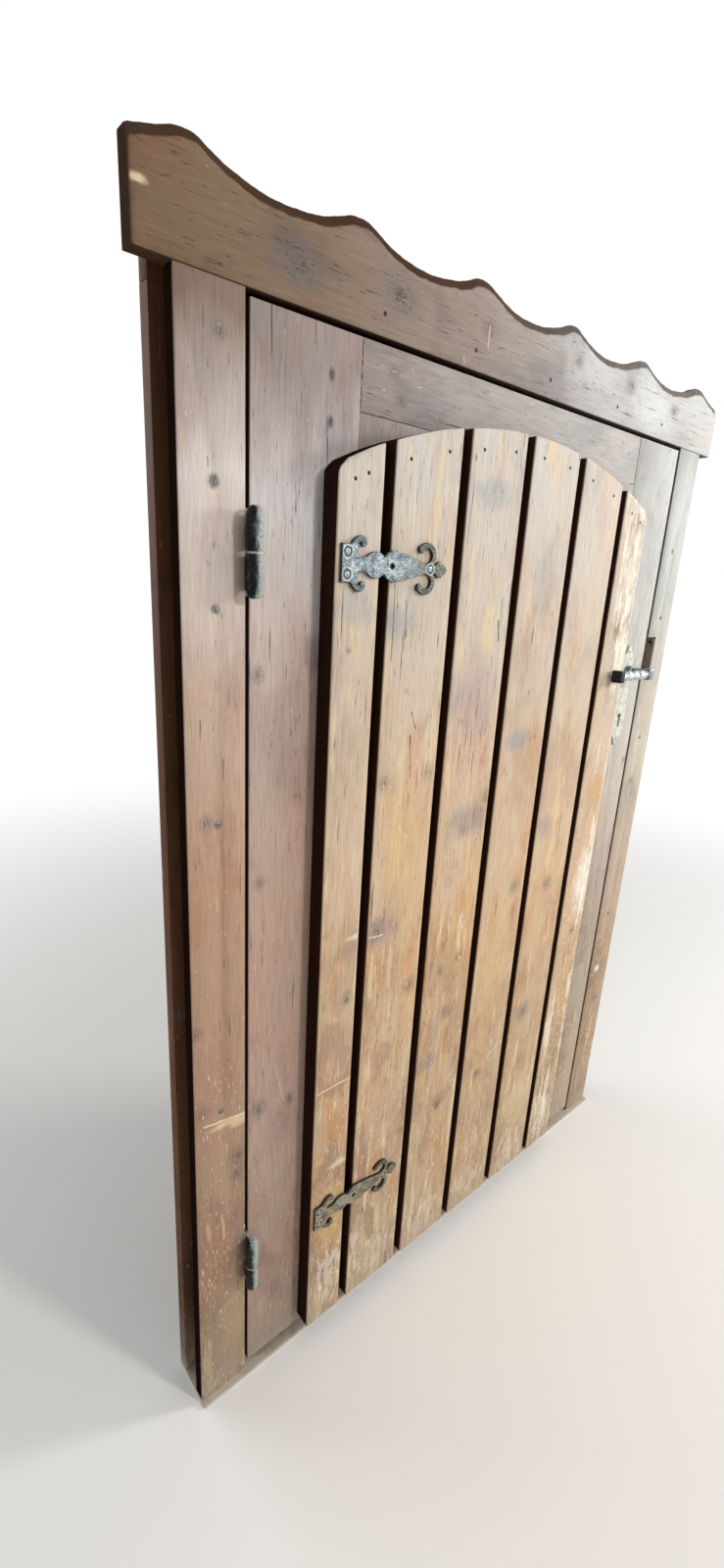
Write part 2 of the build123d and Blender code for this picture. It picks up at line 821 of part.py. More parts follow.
tail_front = lock_depth - tail_thick / 2
tail_back = lock_depth + tail_thick / 2
arm_left = spindle_x - follower_arm_width / 2
tail_foot_right = arm_left - foot_slack
tail_foot_left = tail_foot_right - tail_height
tail_z = spindle_height + follower_arm + 3.0
latch_tip = leaf_right + latch_throw
latch = block(latch_tip - latch_head, latch_tip, bolt_front, bolt_back,
              latch_z - latch_height / 2, latch_z + latch_height / 2)
latch_corner = latch.edges().filter_by(Axis.Z).sort_by(Axis.X)[-2:].sort_by(Axis.Y)[-1]
latch = chamfer(latch_corner, latch_bevel)
latch += block(tail_foot_left, latch_tip - latch_head, tail_front, tail_back,
               tail_z, tail_z + tail_height)
latch_bolt = latch + block(tail_foot_left, tail_foot_right, tail_front, tail_back,
                           spindle_height + follower_arm - 7.0, tail_z)

dead_bolt_tip = leaf_right - dead_bolt_shy
dead_bolt = block(dead_bolt_tip - dead_bolt_height, dead_bolt_tip, bolt_front, bolt_back,
                  dead_bolt_z - dead_bolt_height / 2, dead_bolt_z + dead_bolt_height / 2)
bolt_tail_foot = key_z + keyhole_height / 2 + tongue_slack * 5
dead_bolt += block(case_left + case_wall + tail_height, dead_bolt_tip - dead_bolt_height,
                   tail_front, tail_back, bolt_tail_foot, dead_bolt_z + dead_bolt_height / 3)
dead_bolt -= block(spindle_x - keyhole_radius, spindle_x + keyhole_radius, tail_front, tail_back,
                   bolt_tail_foot, bolt_tail_foot + tail_height)

square_way = block(spindle_x - spindle_size / 2 - spindle_slack / 2,
                   spindle_x + spindle_size / 2 + spindle_slack / 2, -tall, tall,
                   spindle_height - spindle_size / 2 - spindle_slack / 2,
                   spindle_height + spindle_size / 2 + spindle_slack / 2)
follower = extrude(many_sided(barrel_sides, follower_radius, bolt_front), bolt_thick)
follower = Pos(spindle_x, 0, spindle_height) * follower
follower += rod(spindle_x, spindle_height, follower_collar, case_front, case_back)
follower += block(arm_left, arm_left + follower_arm_width, tail_front, tail_back,
                  spindle_height, spindle_height + follower_arm)
lock_follower = follower - square_way

# Handles


def plate_outline():
    """The long plate: straight sides, a shouldered ogee and a small round tip at each end."""
    half = plate_width / 2
    shoulder = plate_shoulder / 2
    tip = plate_height / 2
    line = [(half, 0)] + chords([
        (half, shoulder - 8), (half - 1.6, shoulder), (half - 7, shoulder + 5.5),
        (7.4, shoulder + 8.3), (6, tip - 7), (4.5, tip - 2.2), (0, tip)]) + [(0, 0)]
    quarter = closed_face(line)
    upper = quarter + mirror(quarter, about=Plane.YZ)
    return both_sides(upper)


plate_at = Plane(origin=(spindle_x, 0, lock_centre), x_dir=(1, 0, 0), z_dir=(0, -1, 0))
outer_plate = cut(extrude(plate_at * plate_outline(), plate_thick),
                  [key_way, neck_way] + outer_plate_screws)
inner_plate = to_inside(outer_plate)

grip_y = -(lever_stand - lever_depth / 2)
neck_left = spindle_x - lever_neck_radius
ring_left = neck_left - lever_ring_width
grip_left = spindle_x - lever_reach + lever_block


def twisted_bar(start, end):
    """The grip's square bar along X, twisted by a full turn in small flat steps."""
    radius = square_side / math.sqrt(2)
    rings = []
    for step in range(twist_steps + 1):
        x = start + (end - start) * step / twist_steps
        turn = math.radians(45 + lever_twist * step / twist_steps)
        angles = [turn + corner * math.pi / 2 for corner in range(4)]
        rings.append([(x, grip_y + radius * math.cos(angle),
                       spindle_height + radius * math.sin(angle)) for angle in angles])
    faces = [Face(Wire.make_polygon(ring)) for ring in (rings[0], rings[-1])]
    for near, far in zip(rings, rings[1:]):
        for corner in range(4):
            after = (corner + 1) % 4
            faces.append(Face(Wire.make_polygon([near[corner], near[after], far[corner]])))
            faces.append(Face(Wire.make_polygon([near[after], far[after], far[corner]])))
    return Solid(Shell(faces))


def lever():
    """The outer lever: collar, neck, corner block, ring groove, twisted grip and end block."""
    collar_front = -plate_thick - lever_plate_slack - lever_collar_length
    collar = many_sided(barrel_sides, lever_collar_radius, collar_front)
    body = Pos(spindle_x, 0, spindle_height) * extrude(collar, lever_collar_length)
    body += rod(spindle_x, spindle_height, lever_neck_radius, grip_y, -lever_plate_slack)
    half_height = lever_height / 2
    corner = block(neck_left, spindle_x + lever_neck_radius, -lever_stand,
                   -lever_stand + lever_depth, spindle_height - half_height,
                   spindle_height + half_height)
    corner = chamfer(corner.edges(), lever_chamfer)
    end = block(spindle_x - lever_reach, grip_left, -lever_stand, -lever_stand + lever_depth,
                spindle_height - half_height, spindle_height + half_height)
    end = chamfer(end.edges(), lever_chamfer / 3)
    ring = Plane(origin=(ring_left - 1, grip_y, spindle_height), z_dir=(1, 0, 0))
    ring = extrude(ring * RegularPolygon(lever_ring_radius, barrel_sides), lever_ring_width + 2)
    socket = square_way & block(-tall, tall, -spindle_bite - spindle_slack, 0,
                                0, tall)
    return (body + corner + ring + twisted_bar(ring_left, grip_left) + end) - socket


outer_lever = lever()
inner_lever = to_inside(outer_lever)
spindle = block(spindle_x - spindle_size / 2, spindle_x + spindle_size / 2,
                -spindle_bite, leaf_thick + spindle_bite,
                spindle_height - spindle_size / 2, spindle_height + spindle_size / 2)

# Strike side

strike_plate = cut(strike_blank, [bolt_pocket, latch_path] + strike_screws)
notch_plate = block(notch_wall - notch_plate_thick, notch_wall, notch_plate_margin, casing_thick,
                    notch_foot + notch_plate_margin, notch_top - notch_plate_margin)
plate_corners = notch_plate.edges().filter_by(Axis.X).group_by(Axis.Z)
notch_plate = chamfer(plate_corners[0] + plate_corners[-1], casing_thick / 4)
notch_plate = cut(notch_plate, notch_screws)

# Written nodes

os.makedirs("parts", exist_ok=True)
save("threshold", threshold)
save("left_jamb", left_jamb)
save("right_jamb", right_jamb)
save("head_jamb", head_jamb)
save("left_casing", left_casing)
save("right_casing", right_casing)
save("wavy_header", wavy_header)
save("rear_left_casing", rear_left_casing)
save("rear_right_casing", rear_right_casing)
save("rear_head_casing", rear_head_casing)
save("hinge_side_stop", hinge_side_stop)
save("lock_side_stop", lock_side_stop)
save("head_stop", head_stop)
save("casing_screws", *casing_screws)
save("rear_casing_screws", *rear_casing_screws)
save("header_nails", *header_nails)
save("frame_hinge_halves", *frame_hinge_halves)
save("hinge_pins", *hinge_pins)
save("hinge_washers", *hinge_washers)
save("frame_hinge_screws", *frame_hinge_screws)
save("strike_plate", strike_plate)
save("notch_plate", notch_plate)
save("strike_screws", *strike_screws, *notch_screws)
save("left_stile", left_stile)
save("right_stile", right_stile)
for name, shape in rails.items():
    save(name, shape)
save("upper_infill_boards", *upper_infill)
save("lower_infill_boards", *lower_infill)
for index, shape in enumerate(planks):
    save(f"plank_{index + 1}", shape)
save("plank_nails", *plank_nails)
save("upper_strap", straps[0])
save("lower_strap", straps[1])
save("strap_screws", *strap_screws)
save("leaf_hinge_halves", *leaf_hinge_halves)
save("leaf_hinge_screws", *leaf_hinge_screws)
save("lock_case", lock_case)
save("lock_cover", lock_cover)
save("lock_faceplate", lock_faceplate)
save("faceplate_screws", *faceplate_screws)
save("outer_plate", outer_plate)
save("inner_plate", inner_plate)
save("plate_screws", *outer_plate_screws, *inner_plate_screws)
save("outer_lever", outer_lever)
save("inner_lever", inner_lever)
save("spindle", spindle)
save("lock_follower", lock_follower)
save("latch_bolt", latch_bolt)
save("dead_bolt", dead_bolt)
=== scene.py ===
import json
import math

import bmesh
import bpy
from mathutils import Matrix, Vector

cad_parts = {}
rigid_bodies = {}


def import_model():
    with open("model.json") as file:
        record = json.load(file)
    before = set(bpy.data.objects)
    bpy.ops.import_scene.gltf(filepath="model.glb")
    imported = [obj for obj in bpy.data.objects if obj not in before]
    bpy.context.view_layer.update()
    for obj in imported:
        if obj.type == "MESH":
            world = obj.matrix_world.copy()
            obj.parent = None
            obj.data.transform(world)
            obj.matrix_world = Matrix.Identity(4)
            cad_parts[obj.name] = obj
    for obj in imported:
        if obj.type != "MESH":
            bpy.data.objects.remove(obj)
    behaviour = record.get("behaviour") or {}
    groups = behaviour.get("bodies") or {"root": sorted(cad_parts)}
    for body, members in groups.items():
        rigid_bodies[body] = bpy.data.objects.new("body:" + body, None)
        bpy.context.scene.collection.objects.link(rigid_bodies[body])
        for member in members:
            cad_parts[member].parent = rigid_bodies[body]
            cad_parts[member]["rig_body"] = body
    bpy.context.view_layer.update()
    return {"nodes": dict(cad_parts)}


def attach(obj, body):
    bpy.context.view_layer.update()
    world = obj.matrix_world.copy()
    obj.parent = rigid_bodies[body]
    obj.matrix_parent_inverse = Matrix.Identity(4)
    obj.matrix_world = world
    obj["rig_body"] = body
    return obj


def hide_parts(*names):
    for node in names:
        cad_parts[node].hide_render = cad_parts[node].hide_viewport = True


# The weathered plank door in its frame: its looks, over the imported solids.
# Lengths are in metres in Blender and in millimetres where a name ends in _mm or _MM.
# Places on the front are (x, z) in millimetres: across from the door's middle, and up from the floor.

MM = 0.001
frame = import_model()
NODES = frame["nodes"]

# Shape sizes, the same as the solids'
HEAD_LINE_MM = 1434.0
HEADER_LEFT_MM = -544.5
HEADER_RIGHT_MM = 544.5
HEADER_CREST_MM = 1532.7
WAVE_PITCH_MM = 192.6
WAVE_DEPTH_MM = 19.4
WAVE_CREST_RADIUS_MM = 45.0
WAVE_FIRST_CREST_MM = 52.0
WAVE_CHAMFER_MM = 6.0
PLANK_LEFTS_MM = (-340.0, -259.9, -136.1, -12.3, 111.5, 235.3)
PLANK_FLATS_MM = (62.3, 106.0, 106.0, 106.0, 106.0, 73.6)
PLANK_FRONT_MM = -28.0
PLANK_CHAMFER_MM = 7.0
PLANK_GAP_MM = 10.8
PLANK_LIP_MM = -12.0
PLANK_FOOT_MM = 35.0
ARCH_TOP_MM = 1376.0
ARCH_RADIUS_MM = 775.0
LEAF_CENTRE_MM = -1.5
SPINDLE_X_MM = 371.5
SPINDLE_Z_MM = 1047.0
GRIP_Y_MM = -42.5
LEAF_THICK_MM = 40.0
STRAP_FRONT_MM = -33.0
STRAP_BACK_MM = -28.0
PLATE_THICK_MM = 3.0
STRAP_LEFT_MM = -335.5
STRAP_CENTRES_MM = (1198.0, 258.5)
PLANK_CORNER_MM = 10.0
# The painted grooves of a strap round its screws and hole, dark rings with pale painted highlights:
# along it, up from its middle, and radius
STRAP_MARKS_MM = ((7.5, 12.0, 4.6), (7.5, -12.0, 4.6), (137.0, 0.0, 4.4), (74.5, 0.0, 3.6))

# The camera stands at the photograph's place
CAMERA_PLACE = Vector((-0.8048, -0.6274, 1.1767))
CAMERA_RIGHT = Vector((0.76502, -0.64191, 0.05206))
CAMERA_UP = Vector((0.14839, 0.25433, 0.95567))
CAMERA_BACK = Vector((-0.62668, -0.72338, 0.28980))
CAMERA_LENS_MM = 15.15
CAMERA_SENSOR_MM = 36.0

# Lamps as name, place, what they point at, side length, watts and tint
LAMPS = (
    ("garden_light", (2.5, -1.3, 1.8), (0.0, 0.0, 0.9), 0.5, 42.0, "fffdf8"),
    ("porch_light", (0.7, -2.5, 2.1), (-0.3, 0.0, 0.7), 0.35, 34.0, "fffaf4"),
    ("top_light", (0.2, -0.9, 3.0), (0.0, 0.0, 0.6), 1.6, 8.0, "ffffff"),
    ("back_light", (-1.4, 2.2, 2.0), (0.0, 0.0, 0.7), 2.0, 26.0, "ffffff"),
)
ROOM_LIGHT = 0.36
FLOOR_REACH = 14.0
FLOOR_DROP = 0.0004
FLOOR_FADE = (1.1, 3.2)


def srgb(text):
    """A colour written as it looks on screen, for a shader's socket."""
    parts = [int(text[index:index + 2], 16) / 255 for index in (0, 2, 4)]
    linear = [part / 12.92 if part <= 0.04045 else ((part + 0.055) / 1.055) ** 2.4
              for part in parts]
    return (*linear, 1.0)


class Value:
    """A node's output, which adds and multiplies as a number does."""

    def __init__(self, nodes, socket):
        self.nodes = nodes
        self.socket = socket

    def __add__(self, other):
        return self.nodes.math("ADD", self, other)

    def __mul__(self, other):
        return self.nodes.math("MULTIPLY", self, other)

    __radd__ = __add__
    __rmul__ = __mul__

    def __sub__(self, number):
        return self + -number

    def __rsub__(self, other):
        return self.nodes.math("SUBTRACT", other, self)

    def __abs__(self):
        return self.nodes.math("ABSOLUTE", self)


class Nodes:
    """A node tree that starts empty, with short helpers."""

    def __init__(self, tree):
        self.tree = tree
        tree.nodes.clear()

    def feed(self, target, value):
        """Links an output, or sets a plain value or a colour written as text."""
        if isinstance(value, Value):
            self.tree.links.new(value.socket, target)
        else:
            target.default_value = srgb(value) if isinstance(value, str) else value

    def node(self, kind, inputs, **settings):
        """A new node with its settings and inputs."""
        node = self.tree.nodes.new("ShaderNode" + kind)
        for name, value in settings.items():
            setattr(node, name, value)
        for name, value in inputs.items():
            self.feed(node.inputs[name], value)
        return node

    def made(self, kind, inputs, output=0, **settings):
        """One output of a new node."""
        return Value(self, self.node(kind, inputs, **settings).outputs[output])

    def math(self, operation, first, second=0.0):
        return self.made("Math", {0: first, 1: second}, operation=operation)

    def over(self, first, second):
        """The larger of two masks."""
        return self.math("MAXIMUM", first, second)

    def seen(self):
        """1 where the camera looks, directly, in a reflection or through glass."""
        path = self.node("LightPath", {})
        camera, glossy, through = (Value(self, path.outputs["Is %s Ray" % kind])
                                   for kind in ("Camera", "Glossy", "Transmission"))
        return self.over(self.over(camera, glossy), through)


class Finish(Nodes):
    """One material's nodes, with its colour so far and helpers for masks and mixes."""

    def __init__(self, name):
        self.material = bpy.data.materials.new(name)
        self.material.use_nodes = True
        super().__init__(self.material.node_tree)
        self.where = self.made("TexCoord", {}, "Object")
        axes = self.node("SeparateXYZ", {0: self.where}).outputs
        self.x, self.y, self.z = (Value(self, axis) for axis in axes)
        self.colour = None

    def moved(self, scale, seed, steps):
        """The place, scaled and then shifted by a seed, for a texture."""
        shift = tuple(seed * step for step in steps)
        return self.made("Mapping", {"Vector": self.where, "Scale": scale, "Location": shift})

    def noise(self, scale, seed, detail=3.0, rough=0.55, twist=0.0):
        """Noise from 0 to 1 with its own scale along each axis, in cycles per metre."""
        return self.made("TexNoise", {
            "Vector": self.moved(scale, seed, (3.17, 5.71, 7.13)), "Scale": 1.0, "Detail": detail,
            "Roughness": rough, "Distortion": twist}, "Fac")

    def cells(self, scale, seed, feature):
        """A distance inside a pattern of cells, from 0 up."""
        where = self.moved(scale, seed, (2.3, 4.1, 1.7))
        return self.made("TexVoronoi", {"Vector": where, "Scale": 1.0}, "Distance", feature=feature)

    def step(self, value, low, high):
        """0 below low, 1 above high and smooth between; low may be the larger."""
        flip = low > high
        return self.made("MapRange", {
            "Value": value, "From Min": min(low, high), "From Max": max(low, high),
            "To Min": float(flip), "To Max": float(not flip)}, "Result", interpolation_type="SMOOTHSTEP")

    def ramp(self, value, stops):
        """A colour that runs through (place, colour) stops."""
        node = self.node("ValToRGB", {0: value})
        elements = node.color_ramp.elements
        while len(elements) < len(stops):
            elements.new(0.5)
        for element, (place, colour) in zip(elements, stops):
            element.position = place
            element.color = srgb(colour)
        return Value(self, node.outputs["Color"])

    def mix(self, share, first, second, blend="MIX"):
        """Blends two colours by a share. The third output of this node is its colour."""
        return self.made("Mix", {"Factor": share, "A": first, "B": second}, 2,
                         data_type="RGBA", blend_type=blend, clamp_factor=True)

    def shade(self, colour, factor):
        """A colour made lighter or darker by a number."""
        if isinstance(colour, str):
            tint = self.node("RGB", {})
            tint.outputs[0].default_value = srgb(colour)
            colour = Value(self, tint.outputs[0])
        return self.made("VectorMath", {0: colour, "Scale": factor}, operation="SCALE")

    def coat(self, share, colour):
        """Lays another colour over the finish, by a share."""
        self.colour = self.mix(share, self.colour, colour)

    def stain(self, share, depth, tint):
        """Soaks a tint into the finish, by a share."""
        self.coat(share, self.mix(depth, self.colour, tint, "SOFT_LIGHT"))

    def reach(self, x_mm, z_mm, wide_mm, tall_mm):
        """Distance from a place on the front, 1 at the ellipse of the given half sizes."""
        dx = (self.x - x_mm * MM) * (1 / (wide_mm * MM))
        dz = (self.z - z_mm * MM) * (1 / (tall_mm * MM))
        return self.math("SQRT", dx * dx + dz * dz)

    def within(self, far, soft):
        """1 inside a reach of 1 and 0 outside it, with a soft edge."""
        return self.step(far, 1 + soft, 1 - soft)

    def line(self, start, end, width_mm, wobble):
        """A thin soft line between two places on the front."""
        length = math.dist(start, end)
        ux, uz = (end[0] - start[0]) / length, (end[1] - start[1]) / length
        px, pz = self.x - start[0] * MM, self.z - start[1] * MM
        side = abs(px * -uz + pz * ux + wobble)
        span = abs(px * ux + pz * uz - length * MM / 2)
        near = self.step(side, width_mm * MM, width_mm * MM * 0.3)
        return near * self.step(span, length * MM / 2, length * MM * 0.42)

    def on_surface(self, shader):
        """The material, with a shader on its surface."""
        self.node("OutputMaterial", {"Surface": shader})
        return self.material

    def coated(self, rough, height, depth_mm, specular=0.5, metallic=0.0):
        """The material, from its colour, a roughness and a relief of the given depth."""
        relief = self.made("Bump", {"Strength": 1.0, "Distance": depth_mm * MM, "Height": height})
        return self.on_surface(self.made("BsdfPrincipled", {
            "Base Color": self.colour, "Roughness": rough, "Normal": relief,
            "Specular IOR Level": specular, "Metallic": metallic}))


# Finishes


def wood(name, along, tones, seed, knots=(), patches=(), scratches=(), cracks=0.5, flecks=0.3,
         worn=0.3, bare_tone="d9bb88", side_stain_and_shade_tone="4a2f24", right_tone=None, side_mm=(1.0, 2.4),
         foot=True, ruddy=0.3, ochre=0.0, remnants=0.0, edges=(), back=None, knot_share=0.65, peels=()):
    """Old stained softwood. along is the grain's axis, and tones run along x or z of the front."""
    f = Finish(name)
    lying = along == "x"

    def field(across, lengthways, number, detail, rough=0.55, twist=0.0):
        """Noise drawn out along the grain."""
        scale = (lengthways, across, across) if lying else (across, across, lengthways)
        return f.noise(scale, seed + number, detail, rough, twist)

    def grained(tint):
        return f.shade(tint, 0.86 + grain * 0.28)

    across = f.z if lying else f.x
    broad = field(8, 2.5, 0, 3)
    cloud = field(17, 7, 1, 5, 0.62)
    grain = field(820, 26, 2, 3, 0.6)
    bands = field(210, 5, 3, 4, 0.6)
    haze = field(11, 6, 4, 4, 0.58)
    speck = field(600, 75, 6, 2, 0.5)
    rub = field(62, 7, 7, 5, 0.66)
    wobble = (f.noise((70, 70, 50), seed + 5, 4, 0.6) - 0.5) * 1.5

    axis, stops = tones
    run, low, high = (f.x, -0.545, 0.545) if axis == "x" else (f.z, 0.0, 1.5)
    f.colour = f.ramp((run - low) * (1 / (high - low)) + (broad - 0.5) * 0.16, stops)

    # What is left of the red stain in some places, grey weathering and honey streaks in others
    f.stain(f.step(cloud, 0.46, 0.66) * ruddy, 0.85, "b5776a")
    f.stain(f.step(haze, 0.52, 0.34) * 0.65, 0.85, "66707c")
    if ochre > 0:
        honey = f.step(field(36, 3, 15, 4, 0.6), 0.48, 0.66)
        f.stain(honey * (0.45 + f.step(f.z, 1.2, 0.6) * 0.55) * ochre, 0.9, "b98f3e")

    # Growth rings that part round the knots, then fine grain
    pull = (broad - 0.5) * 0.10
    for knot_x, knot_z, size in knots:
        wide, tall = (size * 5, size * 2) if lying else (size * 2, size * 5)
        near = f.within(f.reach(knot_x, knot_z, wide, tall), 0.95)
        pull = pull + near * (across - (knot_z if lying else knot_x) * MM) * -0.8
    rings = f.math("SINE", (across + pull) * 640.0)
    ring_line = f.step(rings, 0.1, 0.95) * f.step(bands, 0.35, 0.60)
    f.coat(ring_line * 0.24, f.shade(f.colour, 0.72))
    f.colour = f.shade(f.colour, 0.925 + bands * 0.15)
    f.colour = f.shade(f.colour, 0.60 + grain * 0.80)

    # Darker islands of stain that has not yet worn away
    if remnants > 0:
        isle = f.step(field(24, 10, 13, 5, 0.6, 0.6), 0.53, 0.57)
        f.coat(isle * f.step(f.z, 1.05, 0.25) * (0.50 * remnants), "8a6a60")

    # Streaks where the stain has worn through to pale wood
    rub_level = rub * 0.62 + cloud * 0.30 + grain * 0.10
    if foot:
        rub_level = rub_level + f.step(f.z, 0.30, 0) * 0.05
    bare = f.step(rub_level, 0.640 - worn * 0.18, 0.690 - worn * 0.14) * 0.72
    f.coat(bare, f.shade(bare_tone, 0.84 + grain * 0.32))

    for x_mm, z_mm, wide, tall, tint, strength in patches:
        inside = f.within(f.reach(x_mm, z_mm, wide, tall) + wobble, 0.55)
        f.coat(inside * (0.55 + rub * 0.8) * strength, grained(tint))

    # Hard-edged flakes of an old pale coat
    flakes = field(120, 34, 16, 5, 0.68) if peels else None
    for x_mm, z_mm, wide, tall, strength in peels:
        inside = f.within(f.reach(x_mm, z_mm, wide, tall) + wobble, 0.7)
        flake = f.step(flakes + inside * 0.20, 0.665, 0.690) * f.step(inside, 0.05, 0.25)
        f.coat(flake * strength, grained("f2ecdb"))

    # Knots: a broken dark heart with some cracked rings, in a grey bruise, with pale painted glints
    # round them
    knot_height = 0.0
    crumb = f.noise((330, 330, 330), seed + 12, 3, 0.65) if knots else None
    for knot_x, knot_z, size in knots:
        wide, tall = (size * 1.3, size) if lying else (size, size * 1.2)
        far = f.reach(knot_x, knot_z, wide, tall) + (cloud - 0.5) * 1.6 + wobble * 0.5
        bruise = f.step(far, 2.4, 0.2) * 0.60
        circle = f.step(f.math("SINE", far * 8 + wobble * 2.2), 0.2, 0.95) * f.step(far, 1.35, 0.7)
        circle = circle * (f.step(crumb, 0.46, 0.58) * f.step(far, 0.15, 0.5))
        heart = f.step(far, 0.85, 0.2) * f.step(crumb, 0.38, 0.54)
        painted_glint = f.step(far, 1.2, 0.5) * f.step(speck, 0.60, 0.68)
        f.coat(bruise * knot_share, f.shade(f.colour, 0.62))
        f.coat(bruise * (knot_share * 0.55), "7d7a7c")
        f.coat(heart * (knot_share * 0.8), "453c3a")
        f.coat(circle * 0.55, "3b322f")
        f.coat(painted_glint * (1.1 - knot_share), "cdbfa8")
        knot_height = f.over(knot_height, circle * 0.6)

    # Dark pores and short splits along the grain
    pore_level = field(400, 42, 8, 3, 0.62) + haze * 0.10
    pore = f.step(pore_level, 0.385 + cracks * 0.024, 0.345 + cracks * 0.024)
    f.coat(pore * 0.62, f.shade(f.colour, 0.30))
    split_level = field(250, 9, 9, 4, 0.66) + rub * 0.16
    split = f.step(split_level, 0.405 + cracks * 0.014, 0.385 + cracks * 0.014)
    f.coat(split * 0.75, "33231b")

    # Cream flecks where the finish has flaked, more of them near the ground
    fleck_level = speck + cloud * 0.24
    if foot:
        fleck_level = fleck_level + (f.step(f.z, 1.05, 0.15) - 0.5) * 0.065
    fleck = f.step(fleck_level, 0.836 - flecks * 0.060, 0.862 - flecks * 0.060)
    f.coat(fleck * 0.85, "efe3c8")

    for start, end, width, tint, strength in scratches:
        f.coat(f.line(start, end, width, (bands - 0.5) * 0.006) * strength, tint)

    # The arrises, rubbed pale here and there
    for edge_mm in edges:
        close = f.step(abs(f.x - edge_mm * MM), 2.6 * MM, 0.9 * MM)
        f.coat(close * f.step(rub, 0.42, 0.60) * 0.55, bare_tone)

    # Grey dust and splashes near the ground
    if foot:
        f.coat(f.step(f.z, 0.15, 0) * f.step(cloud, 0.25, 0.65) * 0.6, "a3978a")
        f.coat(f.step(f.z, 0.05, 0) * f.step(speck, 0.40, 0.62) * 0.55, "dccfb4")

    # Edges and sides, darkened partly for the dark stain that has stayed there and partly as painted
    # shade in the grooves and on the shadowed sides, and the unpainted back
    specular = 0.08
    if side_stain_and_shade_tone:
        side = f.step(f.y, side_mm[0] * MM, side_mm[1] * MM)
        dark = side_stain_and_shade_tone
        if right_tone:
            dark = f.mix(f.step(f.x, -0.25, 0.35), side_stain_and_shade_tone, right_tone)
        f.coat(side, f.shade(dark, 0.70 + bands * 0.6))
        specular = (1.0 - side) * 0.2
    if back:
        back_tone, back_mm = back
        inner = f.shade(f.shade(back_tone, 0.55 + bands * 0.45), 0.72 + grain * 0.56)
        inner = f.mix(f.step(haze, 0.52, 0.34) * 0.4, inner, f.shade(inner, 0.72))
        f.coat(f.step(f.y, (back_mm - 0.8) * MM, (back_mm - 0.2) * MM), inner)

    height = grain * 0.55 + bands * 0.35 + f.over(pore, split) * -1.3 + fleck * -0.45
    return f.coated(0.52 + bands * 0.22, height + knot_height * -0.7, 0.30, specular)


def old_iron(name, dark, light, rust_share, scale=1.0, pitted=0.0, strap=None):
    """Hammered cast iron: patina on the high spots, with black strokes and pits.

    strap is a strap plate's tarnish and its centre's height, for its darker scrolls, its sides painted
    near black as shade and its grooves painted as dark rings with pale painted highlights.
    """
    f = Finish(name)

    def sized(across, upright):
        return across * scale, across * scale, upright * scale

    dents = f.cells(sized(210, 300), 1, "SMOOTH_F1")
    grit = f.noise(sized(1100, 1100), 2, 4, 0.65)
    cloud = f.noise(sized(100, 100), 3, 4, 0.6)
    strokes = f.noise(sized(300, 950), 4, 3, 0.6, 1.2)
    f.colour = f.mix(f.step(cloud, 0.34, 0.60), dark, light)
    if strap:
        tarnish, centre_mm = strap
        f.coat(f.step(f.x, -262 * MM, -190 * MM) * (0.35 + cloud * 0.9), tarnish)
        out = abs(f.z - centre_mm * MM) + (cloud - 0.5) * 0.012
        f.coat(f.step(out, 17 * MM, 23 * MM) * 0.62, "3f423c")
    pits = f.step(strokes * 0.65 + grit * 0.35, 0.475 - pitted, 0.425 - pitted)
    f.coat(pits * 0.75, "23221d")
    craze = f.cells(sized(360, 360), 6, "DISTANCE_TO_EDGE")
    craze = f.step(craze + (grit - 0.5) * 0.25, 0.09, 0.02)
    f.coat(craze * f.step(cloud + pitted * 8, 0.62, 0.42) * 0.75, "2a2a26")
    f.coat(f.step(strokes, 0.56, 0.70) * 0.5, f.shade(light, 1.25))
    rust = f.noise(sized(130, 130), 5, 4, 0.7)
    f.coat(f.step(rust, 0.66 - rust_share, 0.76 - rust_share) * 0.6, "6d4a2f")
    if strap:
        # Dark rings round the screws and hole are painted as the shade of grooves the mesh does not
        # have, each with a pale painted highlight ring beside it.
        for along, up, size in STRAP_MARKS_MM:
            far = f.reach(STRAP_LEFT_MM + along, centre_mm + up, size, size) + (cloud - 0.5) * 0.4
            f.coat(f.step(far, 0.80, 0.95) * f.step(far, 1.35, 1.10) * 0.85, "2b2a26")
            f.coat(f.step(far, 1.2, 1.4) * f.step(far, 2, 1.5) * 0.45, f.shade(light, 1.3))
        # The casting's sides near the front are painted near black as shade.
        edge = f.y + (cloud - 0.5) * 0.0012
        painted_shade_rim = f.step(edge, (STRAP_FRONT_MM + 0.1) * MM, (STRAP_FRONT_MM + 0.9) * MM)
        f.coat(painted_shade_rim * 0.95, "1e1c18")
    return f.coated(0.5 + cloud * 0.2, dents * 0.5 + pits * -0.6 + strokes * 0.5, 0.9, 0.35, 0.1)


def plain_metal(name, colour, roughness, metallic=0.9, dirt="3a332b", dirt_share=0.4):
    """Metal with fine brushing and a little dirt."""
    f = Finish(name)
    brushed = f.noise((300, 300, 1800), 1, 3, 0.6)
    cloud = f.noise((70, 70, 70), 2, 4, 0.6)
    f.colour = f.mix(f.step(cloud, 0.45, 0.75) * dirt_share, colour, dirt)
    f.coat(brushed * 0.25, f.shade(colour, 0.7))
    return f.coated(roughness + cloud * 0.2, brushed, 0.05, metallic=metallic)


